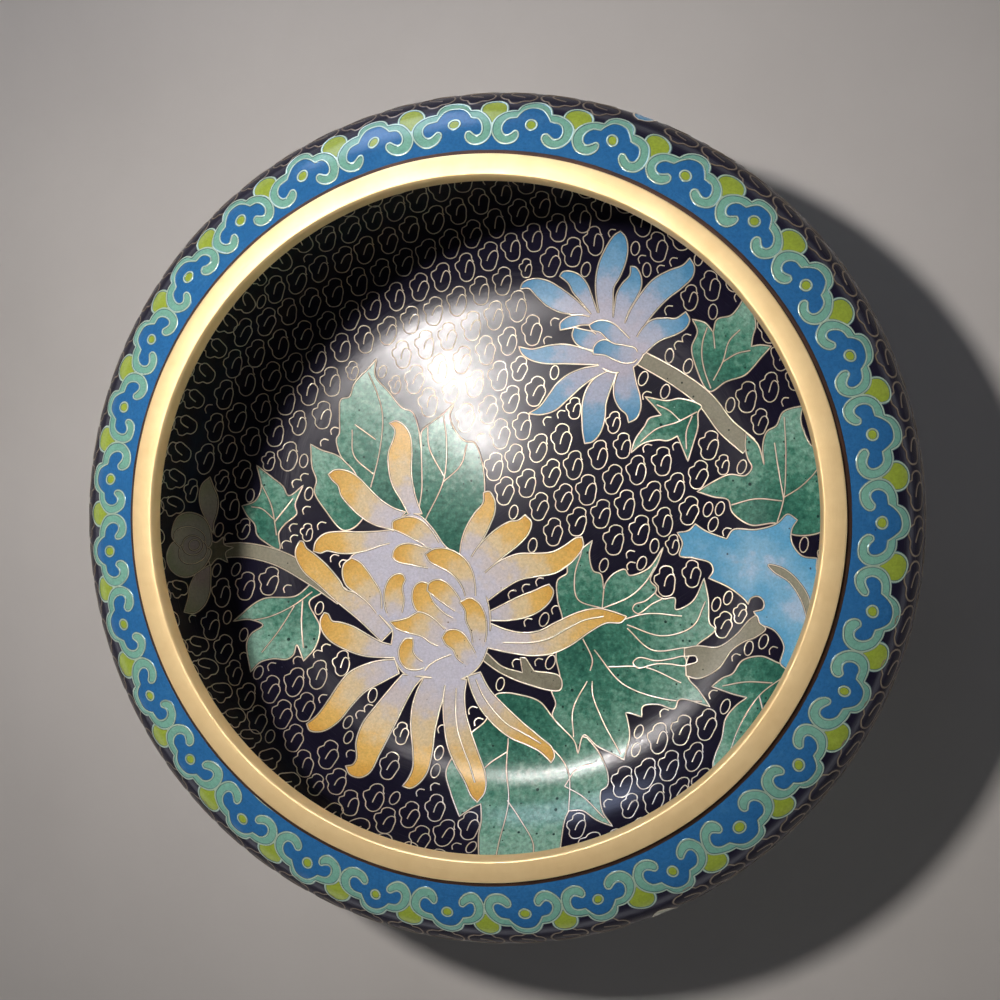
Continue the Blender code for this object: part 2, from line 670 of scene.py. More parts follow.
    def scaled(self, vector: Any, factor: Any) -> NodeSocket:
        """Adds a Vector Math node that scales a vector and returns its output."""
        node = self.add("ShaderNodeVectorMath", vector, operation="SCALE")
        self.feed(node.inputs["Scale"], factor)
        return node.outputs["Vector"]

    def group(self, tree: NodeTree, **values: Any) -> Node:
        """Adds a group node and fills the inputs whose names, in small letters, are given."""
        kind = "ShaderNodeGroup" if tree.bl_idname == SHADER else "GeometryNodeGroup"
        node = self.tree.nodes.new(kind)
        node.node_tree = tree
        for socket in node.inputs:
            self.feed(socket, values.get(socket.name.lower().replace(" ", "_")))
        return node


def new_group(
    name: str, kind: str, inputs: Sequence[tuple[str, str]], outputs: Sequence[tuple[str, str]] = (SHAPE,)
) -> tuple[NodeSketch, Sequence[NodeSocket]]:
    """Starts a node group.

    Args:
        name: The group's name.
        kind: GEOMETRY or SHADER.
        inputs: (name, kind of socket) for each input, such as ("Lift", "Float").
        outputs: The same for each output.

    Returns:
        A sketch of the tree, and the sockets that give what the group is given.
    """
    tree = bpy.data.node_groups.new(name, kind)
    for sockets, way in ((inputs, "INPUT"), (outputs, "OUTPUT")):
        for label, socket in sockets:
            tree.interface.new_socket(label, in_out=way, socket_type="NodeSocket" + socket)
    sketch = NodeSketch(tree)
    return sketch, sketch.add("NodeGroupInput").outputs[: len(inputs)]


def floats(*names: str) -> list[tuple[str, str]]:
    """Returns the (name, kind of socket) pairs of plain numbers."""
    return [(name, "Float") for name in names]


def new_material(name: str) -> tuple[Material, NodeSketch, NodeInputs]:
    """Starts a material and returns it, a sketch of its tree and its shader's inputs."""
    material = bpy.data.materials.new(name)
    material.use_nodes = True
    shader = material.node_tree.nodes["Principled BSDF"]
    return material, NodeSketch(material.node_tree), shader.inputs


# ---------------------------------------------------------------------------------------------
# Finishes
# ---------------------------------------------------------------------------------------------


def srgb(red: int, green: int, blue: int) -> Colour:
    """Returns a colour given in the usual 0 to 255 steps as the linear values that shaders use."""
    linear = []
    for step in (red, green, blue):
        value = step / 255.0
        linear.append(value / 12.92 if value <= 0.04045 else ((value + 0.055) / 1.055) ** 2.4)
    return (*linear, 1.0)


def fade(*stops: tuple[float, int, int, int]) -> tuple[tuple[float, Colour], ...]:
    """Returns a fade from (tint, red, green, blue) stops."""
    return tuple((tint, srgb(*colour)) for tint, *colour in stops)


# The height of the faces' relief, in metres, and the least roughness of each
GLASS_RELIEF = 0.000009
METAL_RELIEF = 0.00004
LEAST_GLASS_ROUGHNESS = 0.06
LEAST_METAL_ROUGHNESS = 0.12


class ShaderEffects:
    """The effects that more than one finish uses, each a shader node group.

    Attributes:
        speck_scale: How many places for a dark speck there are in a metre.
        glint_scale: The same for pale specks.
        glint_size: The largest pale speck's radius as a share of the space between them.
        spot_edge: How sharp a speck's edge is.
        wave_scale: How many slow waves the polished face has in a metre.
        floor_streak: How quickly the floor's polishing lines change along their length.
        wall_streak: The same for the wall's, in metres for each radian.
        floor_edge: How sharply the wall's lines take over from the floor's.
        tilt_ends: The radii at which the floor's tilt starts to fade and is gone, in metres.
        floor_top: The height up to which the floor is uneven.
    """

    speck_scale = 420.0
    glint_scale = 520.0
    glint_size = 0.10
    spot_edge = 16.0
    wave_scale = 90.0
    floor_streak = 0.012
    wall_streak = 0.0012
    floor_edge = 80.0
    tilt_ends = (0.055, 0.095)
    floor_top = 0.062

    def __init__(self) -> None:
        """Builds the groups."""
        self.fired_glass = self.build_fired_glass()
        self.polish_lines = self.build_polish_lines()
        self.uneven_floor = self.build_uneven_floor()

    def spots(self, sketch: NodeSketch, place: Any, scale: Any, share: Any, size: Any) -> NodeSocket:
        """Draws scattered round spots.

        Args:
            sketch: The tree to draw in.
            place: The coordinates.
            scale: How many cells there are in a metre.
            share: The share of the cells that hold a spot.
            size: The largest spot's radius as a share of a cell.

        Returns:
            A mask of the spots.
        """
        cells = sketch.add("ShaderNodeTexVoronoi", place, scale)
        draw = sketch.add("ShaderNodeSeparateColor", cells.outputs["Color"])
        radius = sketch.times(sketch.mapped(draw.outputs[1], 0.65, 0.35), size)
        edge = sketch.minus(radius, cells.outputs["Distance"])
        mask = sketch.times(edge, self.spot_edge, clamp=True)
        return sketch.times(mask, sketch.math("LESS_THAN", draw.outputs[0], share))

    def build_fired_glass(self) -> NodeTree:
        """Builds the clouds, grain, specks and pits of fired glass powder."""
        sketch, (clouds_scale, grain_scale, speck_share, glint_share, speck_size) = new_group(
            "Fired glass",
            SHADER,
            floats("Clouds Scale", "Grain Scale", "Speck Share", "Glint Share", "Speck Size"),
            floats("Clouds", "Grain", "Specks", "Glints", "Height"),
        )
        place = sketch.place()
        clouds = sketch.noise(place, clouds_scale, 3.0, 0.6)
        grain = sketch.noise(place, grain_scale, 2.0, 0.7)
        specks = self.spots(sketch, place, self.speck_scale, speck_share, speck_size)
        shifted = sketch.vector("ADD", place, (0.37, 0.11, 0.23))
        glints = self.spots(sketch, shifted, self.glint_scale, glint_share, self.glint_size)
        waves = sketch.noise(place, self.wave_scale, 1.0, 0.5)
        height = sketch.mapped(waves.outputs["Fac"], 1.6, grain.outputs["Fac"])
        height = sketch.mapped(sketch.plus(specks, glints), -0.5, height)
        centred = [sketch.mapped(node.outputs["Fac"], 2.0, -1.0) for node in (clouds, grain)]
        return sketch.done(*centred, specks, glints, height)

    def build_polish_lines(self) -> NodeTree:
        """Builds the fine lines that polishing leaves: round the bowl's wall and across its floor."""
        sketch, (fineness, lean, floor_radius) = new_group(
            "Polish lines", SHADER, floats("Fineness", "Lean", "Floor Radius"), floats("Lines")
        )
        x, y, z = sketch.split(sketch.place())
        flat = sketch.joined(x, y)
        radius = sketch.vector("LENGTH", flat)
        turn = sketch.times(sketch.math("ARCTAN2", y, x), self.wall_streak)
        lines = sketch.noise(sketch.joined(radius, z, turn), fineness, 2.0, 0.7)
        across_floor = sketch.vector("MULTIPLY", sketch.turned(flat, lean), (self.floor_streak, 1.0, 1.0))
        strokes = sketch.noise(across_floor, fineness, 2.0, 0.7)
        outward = sketch.minus(radius, floor_radius)
        share = sketch.mapped(outward, self.floor_edge, 0.5, clamp=True)
        mixed = sketch.add(
            "ShaderNodeMix", share, strokes.outputs["Fac"], lines.outputs["Fac"], data_type="FLOAT"
        )
        return sketch.done(sketch.mapped(mixed, 2.0, -1.0))

    def build_uneven_floor(self) -> NodeTree:
        """Builds the height, in metres, of the shelf round the floor and of the floor's slight tilt."""
        inputs = [*floats("Middle", "Reach", "Slope"), ("Tilt", "Vector")]
        sketch, (middle, reach, slope, tilt) = new_group("Uneven floor", SHADER, inputs, floats("Height"))
        place = sketch.place()
        x, y, z = sketch.split(place)
        radius = sketch.vector("LENGTH", sketch.joined(x, y))
        past_middle = sketch.minus(radius, middle)
        within = sketch.math("MAXIMUM", past_middle, sketch.times(reach, -1.0))
        within = sketch.math("MINIMUM", within, reach)
        turn = sketch.math("DIVIDE", sketch.times(within, math.pi), reach)
        wave = sketch.times(sketch.math("SINE", turn), sketch.math("DIVIDE", reach, math.pi))
        left = sketch.minus(sketch.minus(reach, within), wave)
        shelf = sketch.times(left, sketch.times(slope, 0.5))
        share = sketch.eased(radius, *self.tilt_ends, 1.0, 0.0)
        lean = sketch.times(sketch.vector("DOT_PRODUCT", place, tilt), share)
        inside = sketch.math("LESS_THAN", z, self.floor_top)
        return sketch.done(sketch.times(sketch.plus(shelf, lean), inside))


@dataclass(frozen=True)
class EnamelFinish:
    """Opaque fired enamel, ground back and polished.

    Attributes:
        slot: The record's material slot.
        stops: (tint, colour) from the root or edge of a cell, at 0, to its tip or middle, at 1.
        clouds: How far the clouds shift the tint.
        clouds_scale: How many clouds there are in a metre.
        grain: How strongly the grain lightens and darkens the colour.
        grain_scale: How many grains there are in a metre.
        specks: The share of places with a dark speck.
        speck_colour: The dark specks' colour.
        glints: The share of places with a pale speck.
        glint_colour: The pale specks' colour.
        roughness: The gloss of the polished face.
        scratches: How strongly the polishing lines change the gloss.
        speck_size: The largest speck's radius as a share of the space between specks.
        shine: How strongly the polished face reflects.
    """

    slot: str
    stops: tuple[tuple[float, Colour], ...]
    clouds: float = 0.40
    clouds_scale: float = 260.0
    grain: float = 0.30
    grain_scale: float = 1500.0
    specks: float = 0.10
    speck_colour: Colour = srgb(60, 52, 45)
    glints: float = 0.0
    glint_colour: Colour = srgb(215, 235, 225)
    roughness: float = 0.20
    scratches: float = 0.26
    speck_size: float = 0.14
    shine: float = 0.15

    def material(self, effects: ShaderEffects) -> Material:
        """Builds the enamel's material.

        Args:
            effects: The shared shader groups.

        Returns:
            The material.
        """
        material, sketch, shader = new_material(self.slot)
        glass = sketch.group(
            effects.fired_glass,
            clouds_scale=self.clouds_scale,
            grain_scale=self.grain_scale,
            speck_share=self.specks,
            glint_share=self.glints,
            speck_size=self.speck_size,
        )
        tint = sketch.add("ShaderNodeAttribute", attribute_name=TINT).outputs["Fac"]
        shifted = sketch.mapped(glass.outputs["Clouds"], self.clouds, tint)
        ramp = sketch.add("ShaderNodeValToRGB", shifted)
        band = ramp.color_ramp
        band.interpolation = "EASE"
        while len(band.elements) < len(self.stops):
            band.elements.new(1.0)
        for element, (position, colour) in zip(band.elements, self.stops):
            element.position = position
            element.color = colour
        bright = sketch.mapped(glass.outputs["Grain"], self.grain, 1.0)
        grained = sketch.scaled(ramp.outputs["Color"], bright)
        colour = sketch.mixed(glass.outputs["Specks"], grained, self.speck_colour)
        if self.glints:
            colour = sketch.mixed(glass.outputs["Glints"], colour, self.glint_colour)
        sketch.feed(shader["Base Color"], colour)
        lines = sketch.group(effects.polish_lines, fineness=5200.0, lean=-0.55, floor_radius=0.062)
        rough = sketch.mapped(lines.outputs[0], self.scratches, self.roughness)
        rough = sketch.mapped(glass.outputs["Specks"], 0.3, rough)
        sketch.feed(shader["Roughness"], sketch.math("MAXIMUM", rough, LEAST_GLASS_ROUGHNESS))
        shader["Specular IOR Level"].default_value = self.shine
        height = sketch.mapped(lines.outputs[0], 0.5, glass.outputs["Height"])
        floor = sketch.group(
            effects.uneven_floor, middle=0.068, reach=0.030, slope=0.185, tilt=(-0.030, -0.014, 0.0)
        )
        relief = sketch.mapped(height, GLASS_RELIEF, floor)
        sketch.feed(shader["Normal"], sketch.add("ShaderNodeBump", 1.0, 1.0, None, relief))
        return material


@dataclass(frozen=True)
class MetalFinish:
    """Gilt copper, with brushing along the turning, tarnish in patches and small dents.

    Attributes:
        slot: The record's material slot.
        bright: The clean gilding's colour.
        dull: The colour where it is rubbed or tarnished.
        tarnish: How far the tarnish spreads, from 0 to 1.
        roughness: The gloss of the clean metal.
        brushing: How strongly the brushing shows.
        metallic: 1 for bare metal and less where a skin of oxide covers it.
        edge: The colour along a wire's flanks: oxide and painted shade.
    """

    slot: str
    bright: Colour
    dull: Colour
    tarnish: float = 0.3
    roughness: float = 0.32
    brushing: float = 0.12
    metallic: float = 1.0
    # The flanks' colour is oxide plus painted shade, so the wire's crown looks lit and its sides look dark.
    edge: Colour = srgb(62, 46, 34)

    def material(self, effects: ShaderEffects) -> Material:
        """Builds the metal's material.

        Args:
            effects: The shared shader groups.

        Returns:
            The material.
        """
        material, sketch, shader = new_material(self.slot)
        glass = sketch.group(
            effects.fired_glass,
            clouds_scale=120.0,
            grain_scale=900.0,
            speck_share=0.12,
            glint_share=0.05,
            speck_size=0.085,
        )
        lines = sketch.group(effects.polish_lines, fineness=6500.0, lean=0.0, floor_radius=0.0)
        patch = sketch.mapped(glass.outputs["Clouds"], 0.6, self.tarnish)
        patch = sketch.mapped(lines.outputs[0], self.brushing, patch)
        patch = sketch.math("MAXIMUM", sketch.math("MINIMUM", patch, 1.0), glass.outputs["Specks"])
        # The flanks take the edge colour: oxide plus painted shade on the sides of the wire.
        flank = sketch.add("ShaderNodeAttribute", attribute_name=FLANK).outputs["Fac"]
        flank_oxide_and_shade = sketch.mapped(flank, 4.0, -3.0, clamp=True)
        colour = sketch.mixed(flank_oxide_and_shade, sketch.mixed(patch, self.bright, self.dull), self.edge)
        sketch.feed(shader["Base Color"], colour)
        shader["Metallic"].default_value = self.metallic
        rough = sketch.mapped(lines.outputs[0], self.brushing, self.roughness)
        rough = sketch.mapped(patch, 0.12, rough)
        sketch.feed(shader["Roughness"], sketch.math("MAXIMUM", rough, LEAST_METAL_ROUGHNESS))
        height = sketch.mapped(lines.outputs[0], 0.8, glass.outputs["Height"])
        sketch.feed(shader["Normal"], sketch.add("ShaderNodeBump", 0.5, METAL_RELIEF, None, height))
        return material


ENAMELS = {
    Enamel.GOLD_PETAL: EnamelFinish(
        slot="gold_petal_enamel",
        stops=fade(
            (0.0, 212, 211, 224),
            (0.25, 220, 211, 209),
            (0.45, 234, 212, 168),
            (0.75, 240, 196, 110),
            (1.0, 230, 178, 86),
        ),
        clouds=0.20,
        specks=0.13,
        speck_colour=srgb(96, 66, 34),
    ),
    Enamel.BLUE_PETAL: EnamelFinish(
        slot="blue_petal_enamel",
        stops=fade(
            (0.0, 198, 194, 208),
            (0.35, 184, 192, 212),
            (0.62, 128, 176, 210),
            (1.0, 88, 152, 194),
        ),
        clouds=0.24,
        specks=0.12,
        speck_colour=srgb(52, 66, 96),
    ),
    Enamel.WHITE_PETAL: EnamelFinish(
        slot="white_petal_enamel",
        stops=fade((0.0, 212, 196, 196), (0.55, 208, 204, 190), (1.0, 186, 190, 158)),
        clouds=0.22,
        specks=0.08,
    ),
    Enamel.LEAF: EnamelFinish(
        slot="leaf_enamel",
        stops=fade(
            (0.0, 50, 106, 90),
            (0.35, 70, 130, 110),
            (0.65, 108, 160, 139),
            (1.0, 142, 186, 167),
        ),
        clouds=0.70,
        clouds_scale=480.0,
        grain=0.70,
        grain_scale=1000.0,
        specks=0.44,
        speck_colour=srgb(22, 62, 54),
        glints=0.10,
        glint_colour=srgb(184, 218, 202),
        speck_size=0.24,
    ),
    Enamel.STEM: EnamelFinish(
        slot="stem_enamel",
        stops=fade((0.0, 128, 124, 106), (0.5, 152, 148, 128), (1.0, 168, 164, 142)),
        clouds=0.45,
        grain=0.30,
        specks=0.42,
        speck_colour=srgb(54, 58, 46),
        speck_size=0.20,
    ),
    Enamel.ROCK: EnamelFinish(
        slot="rock_enamel",
        stops=fade(
            (0.0, 104, 176, 216),
            (0.40, 132, 190, 222),
            (0.70, 176, 204, 228),
            (1.0, 206, 210, 228),
        ),
        clouds=0.60,
        clouds_scale=150.0,
        specks=0.18,
        speck_colour=srgb(66, 84, 112),
        speck_size=0.18,
    ),
    Enamel.BORDER_BLUE: EnamelFinish(
        slot="blue_enamel",
        stops=fade((0.0, 34, 84, 132), (0.5, 42, 98, 148), (1.0, 62, 118, 162)),
        clouds=0.45,
        specks=0.07,
        speck_colour=srgb(18, 48, 92),
    ),
    Enamel.BORDER_TEAL: EnamelFinish(
        slot="teal_enamel",
        stops=fade((0.0, 94, 146, 130), (0.5, 112, 162, 144), (1.0, 134, 176, 158)),
        clouds=0.45,
        specks=0.12,
        speck_colour=srgb(48, 96, 84),
    ),
    Enamel.BORDER_LIME: EnamelFinish(
        slot="lime_enamel",
        stops=fade((0.0, 122, 142, 48), (0.5, 142, 160, 58), (1.0, 166, 178, 86)),
        clouds=0.45,
        specks=0.10,
        speck_colour=srgb(84, 98, 36),
    ),
    Enamel.GROUND: EnamelFinish(
        slot="black_ground_enamel",
        stops=fade((0.0, 22, 20, 34), (1.0, 32, 29, 48)),
        clouds=0.5,
        clouds_scale=140.0,
        grain=0.12,
        specks=0.04,
        speck_colour=srgb(10, 10, 14),
        glints=0.02,
        glint_colour=srgb(90, 92, 110),
    ),
}
UNDERSIDE = EnamelFinish(
    slot="underside_enamel",
    stops=fade((0.0, 26, 40, 66), (0.5, 32, 50, 80), (1.0, 42, 62, 94)),
    clouds=0.6,
    clouds_scale=90.0,
    specks=0.25,
    speck_colour=srgb(16, 22, 36),
    glints=0.08,
    glint_colour=srgb(96, 116, 140),
    roughness=0.24,
)
WIRE = MetalFinish(
    slot="cloison_wire",
    bright=srgb(238, 226, 204),
    dull=srgb(200, 184, 156),
    tarnish=0.25,
    roughness=0.26,
    brushing=0.05,
    metallic=0.25,
)
WIRES = {
    WIRE.slot: WIRE,
    # A darker copy for the outside clouds: tarnish, plus painted shade that stands in for the unlit outer
    # wall.
    TARNISHED_SHADED_WIRE: replace(WIRE, bright=srgb(140, 124, 98), dull=srgb(104, 88, 66), tarnish=0.4),
    # A copy for the border. Its mint tint, lower brightness and dark teal flanks paint the gilt wires'
    # reflection of the enamel round them, and their shade.
    MINT_REFLECTION_WIRE: replace(WIRE, bright=srgb(176, 198, 176), dull=srgb(138, 160, 140), edge=srgb(52, 92, 104)),
}
MOUTH_GILT = MetalFinish(
    slot="gilt_mouth",
    bright=srgb(248, 219, 162),
    dull=srgb(222, 188, 130),
    tarnish=0.35,
    roughness=0.42,
    brushing=0.04,
    metallic=0.55,
)
FOOT_GILT = MetalFinish(
    slot="gilt_foot",
    bright=srgb(228, 190, 124),
    dull=srgb(168, 122, 70),
    tarnish=0.5,
    roughness=0.40,
    brushing=0.14,
)
SEAM = MetalFinish(
    slot="tarnished_seam",
    bright=srgb(92, 58, 34),
    dull=srgb(40, 26, 18),
    tarnish=0.6,
    roughness=0.55,
    brushing=0.10,
    metallic=0.5,
)


# ---------------------------------------------------------------------------------------------
# The bowl's turned section
# ---------------------------------------------------------------------------------------------


# The width of the two gilt rings, in metres
BAND_WIDTH = 0.0050
FOOT_WIDTH = 0.0050
# How far the mouth band reaches down on the wall's edge and inside it, and how wide it is inside it
BAND_DROP = 0.0031
BAND_DEPTH = 0.0044
BAND_LIP = 0.0015
# How far inside the foot's outer face the counter enamel ends, and how many steps it is drawn in
UNDERSIDE_MARGIN = 0.0052
UNDERSIDE_STEPS = 24


@dataclass(frozen=True)
class BowlSection:
    """The bowl's half section in metres, as (radius, height) points.

    The driving sizes are read from the frame. The others are those of the turned wall.

    Attributes:
        height: The whole object's height, at the top of the mouth band.
        belly_radius: The widest radius.
        band_radius: The mouth band's outer radius.
        mouth_radius: The mouth band's inner radius.
        foot_radius: The foot ring's outer radius.
        belly_height: The height of the widest part.
        underside_height: The height of the flat middle of the underside.
        wall: The thickness of the enamelled copper.
        flat_radius: Where the flat floor starts to rise.
        bowl_power: The roundness of the bowl below the belly.
        shoulder_start: The radius that the shoulder's curve is measured from.
        shoulder_power: The roundness of the shoulder above the belly.
        band_proud: How far the mouth band stands above the enamel.
        ledge_radius: The inner radius of the ledge that the mouth band sits on.
        ledge_drop: The depth of that ledge below the top of the band.
        fit_gap: The gap between the bowl and the band.
    """

    height: float
    belly_radius: float
    band_radius: float
    mouth_radius: float
    foot_radius: float
    belly_height: float = 0.0640
    underside_height: float = 0.0073
    wall: float = 0.0030
    flat_radius: float = 0.0300
    bowl_power: float = 2.5
    shoulder_start: float = 0.0795
    shoulder_power: float = 2.8
    band_proud: float = 0.0014
    ledge_radius: float = 0.0793
    ledge_drop: float = 0.0034
    fit_gap: float = 0.0003

    @classmethod
    def from_frame(cls) -> "BowlSection":
        """Reads the driving sizes from the CAD nodes' boxes."""
        foot_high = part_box(FOOT_NODE)[1]
        band_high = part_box(MOUTH_NODE)[1]
        return cls(
            height=band_high.z,
            belly_radius=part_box(BODY_NODE)[1].x,
            band_radius=band_high.x,
            mouth_radius=band_high.x - BAND_WIDTH,
            foot_radius=foot_high.x,
        )

    def bend(
        self, start_radius: float, rise: float, power: float, inset: float, span: Point, steps: int
    ) -> list[Point]:
        """Draws a stretch of a superellipse that is centred at the belly's height.

        Args:
            start_radius: The radius of its centre.
            rise: Its half height, negative below the belly.
            power: Its roundness.
            inset: How far it lies inside the outer face.
            span: Its first and last angle from the belly, in radians.
            steps: How many pieces it is drawn in.

        Returns:
            The points, first to last.
        """
        across = self.belly_radius - start_radius - inset
        up = rise - math.copysign(inset, rise)
        points = []
        for step in range(steps + 1):
            angle = span[0] + (span[1] - span[0]) * step / steps
            radius = start_radius + across * max(math.cos(angle), 0.0) ** (2.0 / power)
            points.append((radius, self.belly_height + up * max(math.sin(angle), 0.0) ** (2.0 / power)))
        return points

    def face(self, inset: float, end_radius: float, steps: int) -> list[Point]:
        """Draws one face of the wall, from the axis out and up to a radius at the mouth.

        Args:
            inset: How far the face lies inside the outer face.
            end_radius: The radius at which it ends.
            steps: How many pieces a quarter turn is drawn in.

        Returns:
            The (radius, height) points.
        """
        drop = self.underside_height - self.belly_height
        lower = self.bend(self.flat_radius, drop, self.bowl_power, inset, (math.pi / 2.0, 0.0), steps)
        rise = self.height - self.band_proud - self.belly_height
        across = self.belly_radius - self.shoulder_start - inset
        share = max(end_radius - self.shoulder_start, 0.0) / across
        end = math.acos(share ** (self.shoulder_power / 2.0))
        upper = self.bend(self.shoulder_start, rise, self.shoulder_power, inset, (0.0, end), steps // 2)
        return [(0.0, self.underside_height + inset), *lower, *upper[1:]]

    def inside(self, steps: int) -> list[Point]:
        """Draws the inner face from the middle of the floor up to the mouth."""
        return self.face(self.wall, self.ledge_radius, steps)

    def outside(self, steps: int) -> list[Point]:
        """Draws the outer face from the middle of the underside up to the mouth band."""
        return self.face(0.0, self.band_radius + self.fit_gap, steps)

    def shell(self, steps: int = 60) -> list[Point]:
        """Draws the whole wall: up the outside, over the band's ledge and down the inside."""
        ledge_top = self.height - self.ledge_drop
        ledge = [(self.band_radius + self.fit_gap, ledge_top), (self.ledge_radius, ledge_top)]
        return [*self.outside(steps), *ledge, *reversed(self.inside(steps))]

    def underside_at(self, radius: float) -> float:
        """Returns the height of the bowl's underside at a radius."""
        across = max(radius - self.flat_radius, 0.0) / (self.belly_radius - self.flat_radius)
        depth = self.belly_height - self.underside_height
        return self.belly_height - depth * (1.0 - across**self.bowl_power) ** (1.0 / self.bowl_power)


def spaced(line: Sequence[Point], step: float) -> list[Point]:
    """Spaces the points of a section line evenly, both ends included."""
    lengths = [0.0]
    for start, end in zip(line, line[1:]):
        lengths.append(lengths[-1] + away(start, end))
    count = max(2, math.ceil(lengths[-1] / step))
    points = []
    piece = 0
    for index in range(count + 1):
        target = lengths[-1] * index / count
        while piece < len(line) - 2 and lengths[piece + 1] < target:
            piece += 1
        span = max(lengths[piece + 1] - lengths[piece], 1e-12)
        points.append(blend_points(line[piece], line[piece + 1], (target - lengths[piece]) / span))
    return points


class RadiusAlong:
    """Gives a section line's radius at a length along it, both in millimetres."""

    def __init__(self, line: Sequence[Point]) -> None:
        """Takes a section line in metres, with its points evenly spaced."""
        self.line = line
        self.length = sum(away(a, b) for a, b in zip(line, line[1:])) / MM

    def at(self, along: float) -> float:
        """Returns the radius at a length along the line."""
        share = min(max(along / self.length, 0.0), 1.0) * (len(self.line) - 1)
        index = min(int(share), len(self.line) - 2)
        return blend_points(self.line[index], self.line[index + 1], share - index)[0] / MM


# ---------------------------------------------------------------------------------------------
# Trees that turn a section and lay a plan on it
# ---------------------------------------------------------------------------------------------

# How close points are welded and how far apart a section line's points are, in metres
WELD = 0.000005
LINE_STEP = 0.0005
# How many pieces a quarter turn of a section line is first drawn in
FINE = 2000
FINISH = ("Finish", "Material")
PLACING = (SHAPE, ("Line", "Object"), ("Start", "Float"), ("Copies", "Int"), ("Wander", "Float"))


